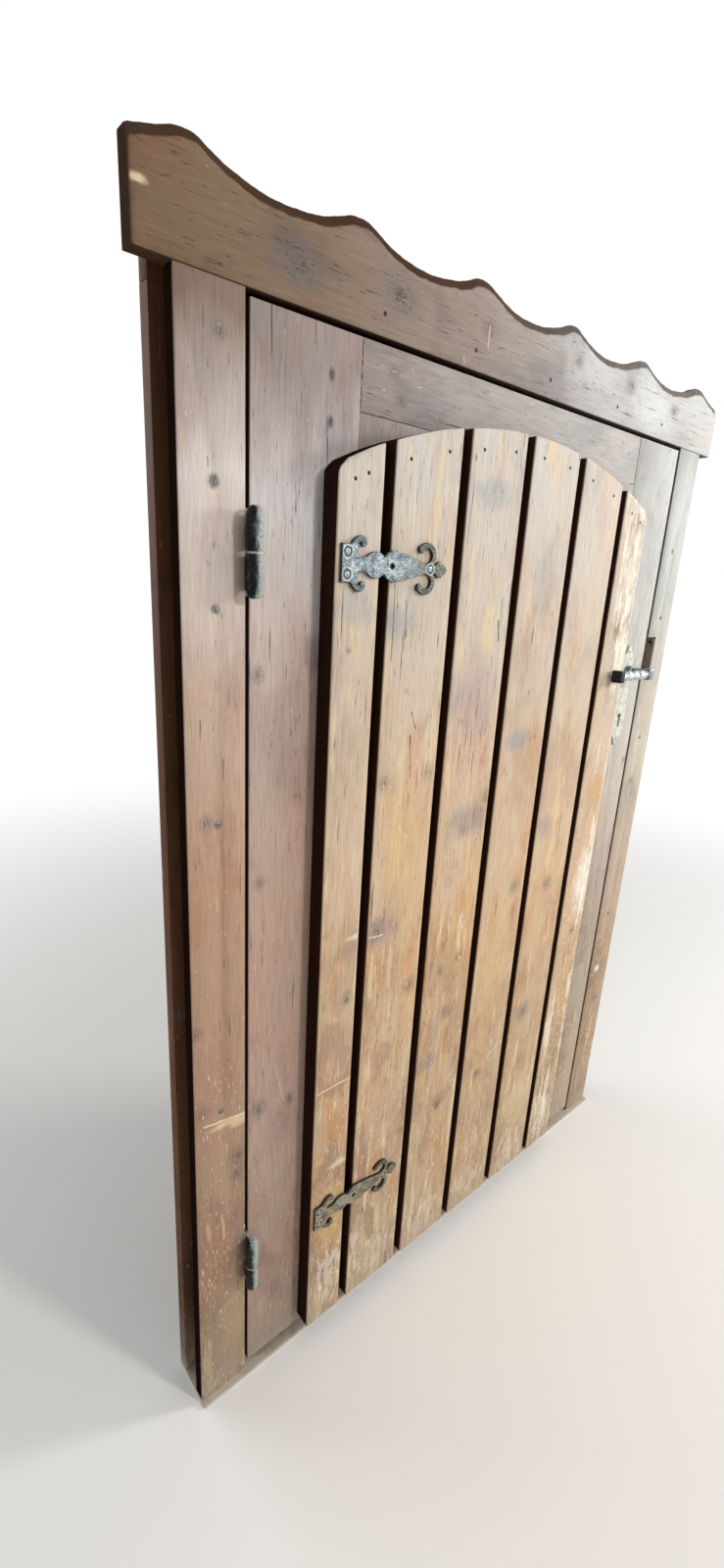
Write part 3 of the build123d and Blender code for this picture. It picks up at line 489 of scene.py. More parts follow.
def hinge_finish():
    """Painted barrels: near black, with a grey painted highlight on the side turned to the right,
    towards the key light.
    """
    f = Finish("black_iron")
    cloud = f.noise((150, 150, 90), 1, 4, 0.6)
    grit = f.noise((1300, 1300, 900), 2, 3, 0.6)
    turned_right = f.made("SeparateXYZ", {0: f.made("NewGeometry", {}, "Normal")})
    # Grey painted highlight on the faces turned to the right, where the key light falls.
    painted_highlight = f.step(turned_right + (cloud - 0.5) * 1.3, -0.58, 0.10) * f.step(grit, 0.32, 0.54)
    f.colour = f.mix(f.step(cloud, 0.38, 0.66), "0a0b0c", "1b2020")
    f.coat(painted_highlight * 0.9, "b9c2bf")
    f.coat(f.step(grit + cloud * 0.5, 0.88, 0.96) * 0.7, "a9aaa0")
    return f.coated(0.42 + cloud * 0.25, cloud * 0.6 + grit * 0.4, 0.35, 0.15)


def lever_finish():
    """Forged iron: the square end block painted near black as shade, silver along the grip, and the
    corner block and neck coated pale bluish as a painted highlight.
    """
    f = Finish("lever_iron")
    cloud = f.noise((260, 260, 260), 1, 4, 0.6)
    grit = f.noise((1200, 1200, 1200), 2, 3, 0.6)
    dark = f.mix(f.step(cloud, 0.4, 0.65), "15181a", "34393b")
    silver = f.mix(f.step(cloud, 0.34, 0.52), "5c6467", "c3cbcd")
    # The end block's near black is painted shade, and the pale bluish coat past 367 mm is a painted
    # highlight.
    past_neck = f.step(f.x, 366 * MM, 358 * MM)
    past_end = f.step(f.x, 277.8 * MM, 279.5 * MM)
    f.colour = f.mix(past_end * (0.35 + past_neck * 0.65), dark, silver)
    f.coat(f.step(f.x, 364.5 * MM, 367 * MM) * 0.7, "93a4ad")
    f.coat(f.step(grit, 0.42, 0.34) * 0.7, "17191a")
    return f.coated(0.26 + cloud * 0.25, cloud * 0.7 + grit * 0.3, 0.4, metallic=0.7)


# Pieces


def in_scene(name, data):
    """A new object in the scene."""
    obj = bpy.data.objects.new(name, data)
    bpy.context.scene.collection.objects.link(obj)
    return obj


def dress(material, *names):
    """Gives CAD nodes a material."""
    for name in names:
        slots = NODES[name].data.materials
        slots.clear()
        slots.append(material)


def piece(name, mesh, material, body, replaced):
    """A new object that rides on a body, takes a slot's finish and stands for CAD nodes."""
    obj = in_scene(name, mesh)
    mesh.materials.append(material)
    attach(obj, body)
    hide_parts(*replaced)
    return obj


def smooth_by_angle(mesh, degrees):
    """Smooth shading, broken at edges sharper than an angle."""
    mesh.shade_smooth()
    mesh.set_sharp_from_angle(angle=math.radians(degrees))


def rounded_copy(node, material, width_mm):
    """A copy of a CAD node with its sharp edges rounded, which replaces the node."""
    name = node + "_face"
    mesh = NODES[node].data.copy()
    mesh.name = name
    mesh.materials.clear()
    work = bmesh.new()
    work.from_mesh(mesh)
    bmesh.ops.remove_doubles(work, verts=work.verts, dist=0.00002)
    bmesh.ops.dissolve_limit(work, angle_limit=math.radians(1.0), verts=work.verts,
                             edges=work.edges)
    work.to_mesh(mesh)
    work.free()
    obj = piece(name, mesh, material, NODES[node]["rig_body"], (node,))
    bevel = obj.modifiers.new("rounded", "BEVEL")
    bevel.width = width_mm * MM
    bevel.segments = 2
    bevel.limit_method = "ANGLE"
    bevel.angle_limit = math.radians(28.0)
    bevel.use_clamp_overlap = True
    bevel.harden_normals = False
    apply_modifiers(obj)
    smooth_by_angle(obj.data, 40.0)


def apply_modifiers(obj):
    """Bakes an object's modifiers into its mesh."""
    graph = bpy.context.evaluated_depsgraph_get()
    baked = bpy.data.meshes.new_from_object(obj.evaluated_get(graph))
    old = obj.data
    obj.modifiers.clear()
    obj.data = baked
    bpy.data.meshes.remove(old)


# Camera, lamps, room and floor


def place_camera():
    """The camera, with the photograph's place, turn and lens."""
    data = bpy.data.cameras.new("camera")
    data.lens = CAMERA_LENS_MM
    data.sensor_width = CAMERA_SENSOR_MM
    data.sensor_fit = "AUTO"
    data.clip_start = 0.01
    camera = in_scene("camera", data)
    turn = Matrix((CAMERA_RIGHT, CAMERA_UP, CAMERA_BACK)).transposed()
    camera.matrix_world = Matrix.Translation(CAMERA_PLACE) @ turn.to_4x4()
    bpy.context.scene.camera = camera
    bpy.context.scene.view_settings.view_transform = "Standard"


def lamp(name, spot_at, aim_at, size, power, tint):
    """A soft square lamp that points at a place."""
    data = bpy.data.lights.new(name, "AREA")
    data.shape = "SQUARE"
    data.size = size
    data.energy = power
    data.color = srgb(tint)[:3]
    obj = in_scene(name, data)
    obj.location = spot_at
    aim = Vector(aim_at) - Vector(spot_at)
    obj.rotation_euler = aim.to_track_quat("-Z", "Y").to_euler()


def white_room():
    """An even pale world: plain light on the object, white where the camera looks past it."""
    world = bpy.data.worlds.new("room")
    bpy.context.scene.world = world
    world.use_nodes = True
    room = Nodes(world.node_tree)
    light = room.made("Background", {"Color": "ffffff", "Strength": ROOM_LIGHT})
    shown = room.made("Background", {"Color": "ffffff", "Strength": 1.0})
    room.node("OutputWorld", {0: room.made("MixShader", {0: room.seen(), 1: light, 2: shown})})


def pale_floor():
    """A plain matt floor that keeps the shadow and fades to white further out."""
    corners = [(-1, -1), (1, -1), (1, 1), (-1, 1)]
    mesh = bpy.data.meshes.new("floor")
    mesh.from_pydata([(x * FLOOR_REACH, y * FLOOR_REACH, 0) for x, y in corners], [], [(0, 1, 2, 3)])
    floor = in_scene("floor", mesh)
    floor.location.z = -FLOOR_DROP
    f = Finish("floor")
    matt = f.made("BsdfPrincipled",
                  {"Base Color": "f0efed", "Roughness": 0.95, "Specular IOR Level": 0.1})
    far = f.math("SQRT", f.x * f.x + f.y * f.y)
    share = f.step(far, *FLOOR_FADE) * f.seen()
    white = f.made("Emission", {})
    mesh.materials.append(f.on_surface(f.made("MixShader", {0: share, 1: matt, 2: white})))


place_camera()
for row in LAMPS:
    lamp(*row)
white_room()
pale_floor()

# Shapes that the looks need finer than the solids


def arch_height_mm(x_mm):
    """The arch's height over a place across the door."""
    return ARCH_TOP_MM - ARCH_RADIUS_MM + math.sqrt(
        ARCH_RADIUS_MM ** 2 - (x_mm - LEAF_CENTRE_MM) ** 2)


def wave_height_mm(x_mm):
    """The header's top edge: tight crests and wide hollows."""
    half = WAVE_PITCH_MM / 2
    radii = (half ** 2 + WAVE_DEPTH_MM ** 2) / (2 * WAVE_DEPTH_MM)
    hollow_radius = radii - WAVE_CREST_RADIUS_MM
    reach = WAVE_CREST_RADIUS_MM * half / radii
    along = (x_mm - HEADER_LEFT_MM - WAVE_FIRST_CREST_MM + half) % WAVE_PITCH_MM - half
    if abs(along) <= reach:
        rise = math.sqrt(WAVE_CREST_RADIUS_MM ** 2 - along ** 2)
        return HEADER_CREST_MM - WAVE_CREST_RADIUS_MM + rise
    from_hollow = half - abs(along)
    drop = math.sqrt(hollow_radius ** 2 - from_hollow ** 2)
    return HEADER_CREST_MM - WAVE_DEPTH_MM + hollow_radius - drop


def ripple(place_mm, seed):
    """A small repeatable unevenness between -1 and 1."""
    return (math.sin(place_mm * 0.071 + seed * 1.7) * 0.5
            + math.sin(place_mm * 0.173 + seed * 2.9) * 0.3
            + math.sin(place_mm * 0.411 + seed * 4.3) * 0.2)


def loft(name, rings):
    """A closed mesh through rings of equal length, each a closed loop of points."""
    work = bmesh.new()
    loops = [[work.verts.new(Vector(point) * MM) for point in ring] for ring in rings]
    count = len(loops[0])
    for near, far in zip(loops, loops[1:]):
        for index in range(count):
            after = (index + 1) % count
            work.faces.new((near[index], near[after], far[after], far[index]))
    work.faces.new(loops[0][::-1])
    work.faces.new(loops[-1])
    bmesh.ops.recalc_face_normals(work, faces=work.faces)
    mesh = bpy.data.meshes.new(name)
    work.to_mesh(mesh)
    work.free()
    return mesh


def rounded_outline(points, radius_mm):
    """A closed outline with each corner cut by a small arc."""
    steps = 3
    out = []
    count = len(points)
    for index, corner in enumerate(points):
        before = Vector(points[index - 1]) - Vector(corner)
        after = Vector(points[(index + 1) % count]) - Vector(corner)
        reach = min(radius_mm, before.length * 0.45, after.length * 0.45)
        start = Vector(corner) + before.normalized() * reach
        end = Vector(corner) + after.normalized() * reach
        for step in range(steps + 1):
            share = step / steps
            first = start.lerp(Vector(corner), share)
            second = Vector(corner).lerp(end, share)
            out.append(tuple(first.lerp(second, share)))
    return out


def corner_drop(bend_mm):
    """How far a plank's rounded top corner has fallen, this far into its bend."""
    if bend_mm <= 0:
        return 0.0
    return PLANK_CORNER_MM - math.sqrt(max(PLANK_CORNER_MM ** 2 - bend_mm ** 2, 0.0))


def plank_mesh(index):
    """One overlay plank: worn arrises, a rounded arch end and a slightly uneven foot."""
    left = PLANK_LEFTS_MM[index]
    flat = left + PLANK_FLATS_MM[index]
    front = PLANK_FRONT_MM
    last = index == len(PLANK_LEFTS_MM) - 1
    if last:
        outline = [(left, front), (flat, front), (flat, 0.0), (left, 0.0)]
    else:
        shoulder = flat + PLANK_CHAMFER_MM
        lip_end = shoulder + PLANK_GAP_MM - 0.15
        outline = [(left, front), (flat, front), (shoulder, front + PLANK_CHAMFER_MM),
                   (shoulder, PLANK_LIP_MM), (lip_end, PLANK_LIP_MM), (lip_end, 0.0), (left, 0.0)]
    section = rounded_outline(outline, 1.6)
    # Extra points across the face let the arch end follow its curve
    fine = []
    for first, second in zip(section, section[1:] + section[:1]):
        parts = max(1, int(math.dist(first, second) / 9.0))
        fine += [(first[0] + (second[0] - first[0]) * (part / parts),
                  first[1] + (second[1] - first[1]) * (part / parts)) for part in range(parts)]
    body_steps = 90
    levels = [0.0, 0.0008, 0.002, 0.004]
    levels += [0.004 + (0.996 - 0.004) * step / body_steps for step in range(1, body_steps + 1)]
    levels += [0.9985, 0.9995, 1.0]
    rings = []
    for level in levels:
        ring = []
        for x, y in fine:
            top = arch_height_mm(x)
            if index == 0:
                top -= corner_drop(left + PLANK_CORNER_MM - x)
            if last:
                top -= corner_drop(x - (flat - PLANK_CORNER_MM))
            foot = PLANK_FOOT_MM + ripple(x * 2.0, index * 2.3) * 1.1
            z = foot + (top - foot) * level
            inset = max(0.0, 1.3 - min(z - foot, top - z))
            near_left = max(0.0, 1.0 - (x - left) / 6.0)
            near_right = max(0.0, 1.0 - (flat - x) / 6.0) if y < front + 1 else 0.0
            chip = max(0.0, ripple(z * 1.9, index * 5.1 + (1 if near_left else 3)) - 0.55) * 1.1
            shift_y = (near_left + near_right) * chip if y < front + 2.5 else 0.0
            inward = 0.9 if x < (left + flat) / 2 else -0.9
            ring.append((x + inward * min(inset, 1.0) * 0.7,
                         y + (inset * 0.8 if y < front + 2 else 0.0) + shift_y, z))
        rings.append(ring)
    mesh = loft("plank_%d_face" % (index + 1), rings)
    smooth_by_angle(mesh, 38.0)
    return mesh


def header_mesh():
    """The wavy header board, with a broken front edge and a softly worn wave."""
    proud = -1.0
    back = 19.0
    stations = 330
    rings = []
    for step in range(stations + 1):
        x = HEADER_LEFT_MM + (HEADER_RIGHT_MM - HEADER_LEFT_MM) * step / stations
        end_gap = min(x - HEADER_LEFT_MM, HEADER_RIGHT_MM - x)
        inset = max(0.0, 1.4 - end_gap) * 0.8
        top = wave_height_mm(x) + ripple(x * 1.7, 2.0) * 0.5 - 0.5 - inset
        cut = WAVE_CHAMFER_MM + ripple(x * 0.9, 6.0) * 0.7
        outline = [(proud + inset, HEAD_LINE_MM + 0.2), (back, HEAD_LINE_MM + 0.2), (back, top),
                   (proud + cut * 0.8, top), (proud + inset, top - cut * 1.9)]
        section = rounded_outline(outline, 1.5)
        rings.append([(x, y, z) for y, z in section])
    mesh = loft("wavy_header_face", rings)
    smooth_by_angle(mesh, 34.0)
    return mesh


# Ironwork that the looks need finer than the solids


def face_loops(node, level_mm):
    """The closed outlines of a node's flat face at a depth, as lists of (x, z) in metres."""
    work = bmesh.new()
    work.from_mesh(NODES[node].data)
    bmesh.ops.remove_doubles(work, verts=work.verts, dist=0.00002)
    flat = {face for face in work.faces
            if all(abs(vert.co.y - level_mm * MM) < 0.00005 for vert in face.verts)}
    follow = {}
    for face in flat:
        for loop in face.loops:
            others = [other for other in loop.edge.link_faces if other in flat]
            if len(others) == 1:
                follow[loop.vert] = loop.link_loop_next.vert
    loops = []
    while follow:
        start, here = follow.popitem()
        loop = [start.co.copy()]
        while here is not start:
            loop.append(here.co.copy())
            here = follow.pop(here)
        loops.append([(point.x, point.z) for point in loop])
    work.free()
    return loops


def turn_between(before, here, after):
    """How sharply a line turns at a point, in degrees."""
    first = Vector((here[0] - before[0], here[1] - before[1]))
    second = Vector((after[0] - here[0], after[1] - here[1]))
    if first.length < 1e-9 or second.length < 1e-9:
        return 0.0
    return math.degrees(abs(first.angle_signed(second)))


def softened(loop):
    """An outline with its many small corners cut round and its sharp ones kept."""
    sharp_degrees = 40.0
    for _ in range(2):
        out = []
        count = len(loop)
        for index, here in enumerate(loop):
            before, after = loop[index - 1], loop[(index + 1) % count]
            if turn_between(before, here, after) > sharp_degrees:
                out.append(here)
                continue
            for other in (before, after):
                out.append((here[0] * 0.75 + other[0] * 0.25, here[1] * 0.75 + other[1] * 0.25))
        loop = out
    return loop


def signed_area(loop):
    return sum(a[0] * b[1] - b[0] * a[1] for a, b in zip(loop, loop[1:] + loop[:1])) / 2


def cast_plate(name, loops, front_mm, back_mm, rounding_mm):
    """A flat casting with rounded edges, from outlines on the front."""
    curve = bpy.data.curves.new(name, "CURVE")
    curve.dimensions = "2D"
    curve.fill_mode = "BOTH"
    thick = abs(back_mm - front_mm)
    curve.extrude = (thick / 2 - rounding_mm) * MM
    curve.bevel_depth = rounding_mm * MM
    curve.bevel_resolution = 3
    curve.offset = -rounding_mm * MM
    outer = max(loops, key=lambda loop: abs(signed_area(loop)))
    for loop in loops:
        turns_left = signed_area(loop) > 0
        points = loop if turns_left == (loop is outer) else loop[::-1]
        spline = curve.splines.new("POLY")
        spline.points.add(len(points) - 1)
        spline.use_cyclic_u = True
        for point, (x, z) in zip(spline.points, points):
            point.co = (x, z, 0.0, 1.0)
    holder = in_scene(name, curve)
    graph = bpy.context.evaluated_depsgraph_get()
    mesh = bpy.data.meshes.new_from_object(holder.evaluated_get(graph))
    bpy.data.objects.remove(holder)
    bpy.data.curves.remove(curve)
    middle = (front_mm + back_mm) / 2 * MM
    for vert in mesh.vertices:
        x, z, out = vert.co
        vert.co = (x, middle - out, z)
    work = bmesh.new()
    work.from_mesh(mesh)
    bmesh.ops.remove_doubles(work, verts=work.verts, dist=0.000005)
    bmesh.ops.recalc_face_normals(work, faces=work.faces)
    work.to_mesh(mesh)
    work.free()
    smooth_by_angle(mesh, 35.0)
    return mesh


def joined(name, meshes):
    """Several meshes as one."""
    work = bmesh.new()
    for mesh in meshes:
        work.from_mesh(mesh)
        bpy.data.meshes.remove(mesh)
    mesh = bpy.data.meshes.new(name)
    work.to_mesh(mesh)
    work.free()
    return mesh


def turned(name, axis, centre, profile, sides=40):
    """A lathed shape along x or y, from (distance along, radius) pairs in mm."""
    rings = []
    for along, radius in profile:
        ring = []
        for step in range(sides):
            angle = 2 * math.pi * step / sides
            u, v = radius * math.cos(angle), radius * math.sin(angle)
            if axis == "x":
                ring.append((along, centre[0] + u, centre[1] + v))
            else:
                ring.append((centre[0] + u, along, centre[1] + v))
        rings.append(ring)
    return loft(name, rings)


def rounded_profile(start, end, radius, corner):
    """A lathe profile of a plain round bar with rounded ends."""
    steps = [(0.0, 1.0), (0.08, 0.62), (0.3, 0.29), (0.62, 0.08), (1.0, 0.0)]
    near = [(start + corner * out, radius - corner * inset) for out, inset in steps]
    far = [(end - corner * out, radius - corner * inset) for out, inset in steps[::-1]]
    return near + far


def grip_block(name, start_mm, end_mm, half_deep_mm, half_tall_mm, corner_mm, segments):
    """A block with rounded edges round the grip's axis, between two places along it."""
    low = (start_mm, GRIP_Y_MM - half_deep_mm, SPINDLE_Z_MM - half_tall_mm)
    high = (end_mm, GRIP_Y_MM + half_deep_mm, SPINDLE_Z_MM + half_tall_mm)
    work = bmesh.new()
    bmesh.ops.create_cube(work, size=1.0)
    for vert in work.verts:
        vert.co = [(lo + (hi - lo) * (part + 0.5)) * MM for lo, hi, part in zip(low, high, vert.co)]
    bmesh.ops.bevel(work, geom=work.edges, offset=corner_mm * MM, segments=segments,
                    profile=0.6, affect="EDGES")
    mesh = bpy.data.meshes.new(name)
    work.to_mesh(mesh)
    work.free()
    return mesh


def twisted_grip(name, start_mm, end_mm, side_mm, turn_degrees):
    """The grip: a square bar with soft edges, forged with a slow twist."""
    stations = 110
    corners = 32
    rings = []
    for step in range(stations + 1):
        share = step / stations
        x = start_mm + (end_mm - start_mm) * share
        twist = math.radians(45 + turn_degrees * share)
        neck = 1.0 - 0.06 * math.cos(share * math.pi * 2) ** 6
        ring = []
        for corner in range(corners):
            angle = 2 * math.pi * corner / corners
            cosine, sine = math.cos(angle), math.sin(angle)
            reach = side_mm / 2 / (abs(cosine) ** 5 + abs(sine) ** 5) ** 0.2 * neck
            turned_to = angle + twist - math.pi / 4
            ring.append((x, GRIP_Y_MM + reach * math.cos(turned_to),
                         SPINDLE_Z_MM + reach * math.sin(turned_to)))
        rings.append(ring)
    return loft(name, rings)


def lever_mesh(name, inside):
    """A whole lever: collar, neck, corner block, ring, twisted grip and square end block."""
    centre = (SPINDLE_X_MM, SPINDLE_Z_MM)
    grip = (GRIP_Y_MM, SPINDLE_Z_MM)
    parts = [
        turned("collar", "y", centre, rounded_profile(-15.3, -3.3, 11.0, 1.4)),
        turned("neck", "y", centre, rounded_profile(GRIP_Y_MM, -3.3, 8.5, 0.8)),
        grip_block("corner", 363.0, 380.0, 9.1, 9.9, 3.0, 4),
        turned("ring", "x", grip, rounded_profile(359.0, 364.0, 7.6, 2.0)),
        twisted_grip("grip", 361.0, 277.0, 14.4, 360.0),
        grip_block("end", 265.0, 278.0, 9.2, 10.0, 0.9, 2),
    ]
    mesh = joined(name, parts)
    if inside:
        for vert in mesh.vertices:
            vert.co.y = LEAF_THICK_MM * MM - vert.co.y
        mesh.flip_normals()
    smooth_by_angle(mesh, 42.0)
    return mesh


def islands(node):
    """The lowest and highest corners of each separate solid of a node."""
    work = bmesh.new()
    work.from_mesh(NODES[node].data)
    bmesh.ops.remove_doubles(work, verts=work.verts, dist=0.00001)
    left = set(work.verts)
    found = []
    while left:
        queue = [left.pop()]
        members = []
        while queue:
            vert = queue.pop()
            members.append(vert.co.copy())
            for edge in vert.link_edges:
                other = edge.other_vert(vert)
                if other in left:
                    left.remove(other)
                    queue.append(other)
        low = Vector([min(co[axis] for co in members) for axis in range(3)])
        high = Vector([max(co[axis] for co in members) for axis in range(3)])
        found.append((low, high))
    work.free()
    found.sort(key=lambda pair: tuple(round(value, 5) for value in pair[0]))
    return found


def circle(radius, level, sides):
    """A ring of points (u, v, out) round a head's middle."""
    angles = [2 * math.pi * step / sides for step in range(sides)]
    return [(radius * math.cos(angle), radius * math.sin(angle), level) for angle in angles]


def head_shapes(radius, slotted, sink_mm, dome_mm):
    """A head's solids, each as rings of points (u, v, out) round its middle."""
    if not slotted:
        profile = [(-2.2, 1.0), (-sink_mm, 1.0), (-sink_mm + dome_mm * 0.7, 0.82),
                   (-sink_mm + dome_mm, 0.45), (-sink_mm + dome_mm * 1.05, 0.12)]
        return [[circle(radius * share, level, 22) for level, share in profile]]
    shapes = [[circle(radius * 0.98, level, 28) for level in (-2.2, -sink_mm - 0.55)]]
    half_slot = 0.16
    first = math.asin(half_slot)
    angles = [first + (math.pi - 2 * first) * step / 14 for step in range(15)]
    for side in (1, -1):
        outline = [(radius * math.cos(angle), side * radius * math.sin(angle)) for angle in angles]
        crown = [(u * 0.80, v * 0.80 + half_slot * side, -sink_mm + dome_mm) for u, v in outline]
        shapes.append([[(u, v, level) for u, v in outline] for level in (-sink_mm - 0.8, -sink_mm)]
                      + [crown])
    return shapes


def screw_heads(name, node, facing, slotted, sink_mm, dome_mm):
    """Round heads for every screw or nail of a node, each slot at its own angle."""
    parts = []
    for index, (low, high) in enumerate(islands(node)):
        x_mm, y_mm, z_mm = ((near + far) / 2 / MM for near, far in zip(low, high))
        to_front = facing == "front" or facing == "nearest" and y_mm < LEAF_THICK_MM / 2
        out = -1.0 if to_front else 1.0
        face = (low.y if to_front else high.y) / MM
        spin = math.radians(index * 137.5 + 20)
        cosine, sine = math.cos(spin), math.sin(spin)
        for rings in head_shapes((high.x - low.x) / 2 / MM, slotted, sink_mm, dome_mm):
            parts.append(loft("head", [
                [(x_mm + u * cosine - v * sine, face + out * away, z_mm + u * sine + v * cosine)
                 for u, v, away in ring] for ring in rings]))
    mesh = joined(name, parts)
    smooth_by_angle(mesh, 40.0)
    return mesh


# Woods

# Tones run from low to high along the named axis, as (share of the run, colour)
# The left casing's and left stile's tones lay over the wood's own tone a pale grey painted highlight at
# 0.84 of the height and painted shade from the header at the top.
CASING_LEFT_TONES_WITH_PAINTED_LIGHT = ("z", [(0.0, "a0866f"), (0.3, "aa8e78"), (0.55, "b6947d"), (0.72, "c1aa9a"),
                           (0.84, "d4cbc5"), (0.93, "826e61")])
STILE_LEFT_TONES_WITH_PAINTED_LIGHT = ("z", [(0.0, "ad9787"), (0.3, "b99e90"), (0.55, "c0a492"), (0.72, "c9b8af"),
                          (0.84, "d2cdcc"), (0.93, "968a86")])
# The rails' tones turn paler and greyer towards the right, partly as weathered wood and partly as
# painted glare.
RAIL_TONES_WITH_GLARE = ("x", [(0.2, "9a8f8a"), (0.35, "a8a19d"), (0.6, "aba8a4"), (0.85, "b4b3ae")])
STILE_RIGHT_TONES = ("z", [(0.0, "bcaa94"), (0.22, "ada08f"), (0.4, "bbac9d"), (0.6, "c0bab1"),
                           (0.85, "bbbfbd")])
CASING_RIGHT_TONES = ("z", [(0.0, "b39c85"), (0.22, "b09a82"), (0.4, "b8a693"), (0.6, "c5bdb0"),
                            (0.85, "b3b8b6")])
# The header's tones run from brown to pale grey towards the right, partly as bleached wood and partly as
# painted glare.
HEADER_TONES_WITH_GLARE = ("x", [(0.0, "755d47"), (0.15, "7d6955"), (0.32, "8f8076"), (0.5, "9c938d"),
                      (0.68, "b8b9b9"), (1.0, "c2c3c1")])
PLANK_TONES = ("z", [(0.0, "bca489"), (0.22, "c1a88b"), (0.45, "cfb494"), (0.62, "ceb9a3"),
                     (0.78, "c9bfb2"), (0.9, "c8c3bb")])
PLANK_KNOTS = [
    [(-292, 625, 7), (-317, 1102, 3)],
    [(-249, 931, 8), (-167, 934, 8), (-242, 715, 10), (-171, 600, 9)],
    [(-35, 875, 9), (-102, 600, 6), (-79, 515, 7), (-77, 325, 8)],
    [(68, 700, 10), (26, 339, 6)],
    [(166, 680, 9), (146, 420, 10)],
    [(279, 549, 7)],
]
PLANK_PATCHES = [
    [(-282, 720, 14, 4, "e8dcc2", 0.7), (-292, 339, 16, 6, "e6d8ba", 0.7),
     (-274, 755, 4, 28, "e6d6b4", 0.6), (-294, 406, 30, 26, "b98650", 0.45),
     (-294, 700, 30, 14, "7a6a6c", 0.35), (-304, 225, 24, 60, "d9b97c", 0.5),
     (-310, 1150, 30, 18, "8f95a0", 0.35), (-300, 560, 34, 40, "a98878", 0.4)],
    [(-244, 1135, 26, 16, "8590a0", 0.45), (-235, 712, 34, 26, "8a7a80", 0.4),
     (-206, 836, 40, 90, "d8b376", 0.35)],
    [(-69, 847, 44, 24, "857a80", 0.5), (-35, 872, 14, 12, "e3c98e", 0.5),
     (-114, 430, 22, 13, "7c7a84", 0.45), (-91, 1296, 34, 18, "939ca8", 0.5),
     (-66, 658, 5, 28, "e9dcb8", 0.6), (-54, 664, 30, 60, "dbb87e", 0.35),
     (-85, 1030, 40, 60, "a5929a", 0.4)],
    [(26, 960, 26, 15, "8c94a2", 0.45), (68, 927, 16, 40, "c99a6c", 0.4),
     (51, 511, 40, 90, "d6ba88", 0.35), (45, 1200, 36, 50, "a49a9c", 0.35)],
    [(131, 795, 20, 20, "8f949c", 0.45), (147, 420, 34, 24, "8c7f78", 0.2),
     (166, 205, 40, 60, "e2d0a6", 0.4)],
    [(279, 1172, 26, 22, "efe9da", 0.35),
     (286, 1080, 22, 56, "ece8da", 0.35), (286, 652, 24, 62, "e9e4d8", 0.8),
     (283, 836, 26, 30, "c99c62", 0.55), (279, 1294, 18, 16, "8f6f4c", 0.5),
     (267, 1123, 10, 16, "8b6238", 0.6)],
]
PLANK_SCRATCHES = [
    [((-342, 487), (-270, 488), 1.7, "ecdfc2", 0.8)],
    [((-207, 994), (-204, 941), 1.0, "2c2018", 0.9),
     ((-208, 1024), (-198, 997), 1.0, "2c2018", 0.8), ((-258, 709), (-230, 706), 1.6, "eadcbc", 0.8),
     ((-251, 1189), (-249, 1084), 0.8, "3a2a1e", 0.6)],
    [((-51, 1140), (-47, 1108), 1.3, "241a14", 0.9),
     ((-47, 1170), (-47, 1127), 0.8, "33261c", 0.7)],
    [((93, 382), (47, 361), 1.3, "efe4cc", 0.75)],
    [((180, 817), (182, 712), 0.9, "3d2c20", 0.7)],
    [((269, 1094), (270, 1017), 1.0, "5a3f28", 0.7), ((308, 1270), (308, 560), 2.0, "f3f0e6", 0.8)],
]
PLANK_PEELS = (
    [(-272, 760, 7, 90, 0.6), (-300, 120, 30, 70, 0.4)],
    [(-255, 120, 14, 60, 0.35), (-200, 90, 50, 40, 0.3)],
    [(-60, 660, 8, 60, 0.3), (-80, 80, 50, 40, 0.3)],
    [(40, 80, 50, 40, 0.3)],
    [(165, 90, 50, 50, 0.4)],
    [(279, 1225, 26, 120, 0.55), (290, 1085, 20, 80, 0.75), (293, 640, 18, 80, 0.85),
     (302, 400, 8, 120, 0.5), (275, 110, 34, 70, 0.5)],
)
PLANK_WEAR = (0.50, 0.60, 0.55, 0.50, 0.58, 0.52)
JOINT_COLOUR = "2b201b"
LEFT_JOINT_MM = ((-293.5, -80.0), (-293.5, 1540.0))
RIGHT_JOINT_MM = ((298.5, -80.0), (298.5, 1540.0))
RAIL_JOINT_MM = ((-340, 1356.0), (350, 1356.0))
PLANK_REMNANTS = (1, 0.85, 0.6, 0.4, 0.25, 0.0)
PLANK_CRACKS = (0.3, 1.0, 0.9, 0.6, 0.7, 1.2)
PLANK_FLECKS = (0.4, 0.4, 0.35, 0.45, 0.7, 1.3)

# Each plank's sides and lips take a dark tone that is partly stain and partly painted shade; the first
# plank's, on its left side, is darker still as painted shade.
for number in range(6):
    plank_wood = wood(
        "plank_wood_%d" % (number + 1), "z", PLANK_TONES, 20.0 + number * 3.3,
        PLANK_KNOTS[number], PLANK_PATCHES[number], PLANK_SCRATCHES[number],
        cracks=PLANK_CRACKS[number], flecks=PLANK_FLECKS[number], worn=PLANK_WEAR[number],
        bare_tone="efe6d2" if number == 5 else "dac7a4",
        side_stain_and_shade_tone="2e1d17" if number == 0 else "40271e",
        side_mm=(-27.0, -25.0), ruddy=0.5, ochre=0.4, peels=PLANK_PEELS[number],
        remnants=PLANK_REMNANTS[number],
        edges=(PLANK_LEFTS_MM[number], PLANK_LEFTS_MM[number] + PLANK_FLATS_MM[number]))
    node_name = "plank_%d" % (number + 1)
    piece(node_name + "_face", plank_mesh(number), plank_wood, "leaf", (node_name,))

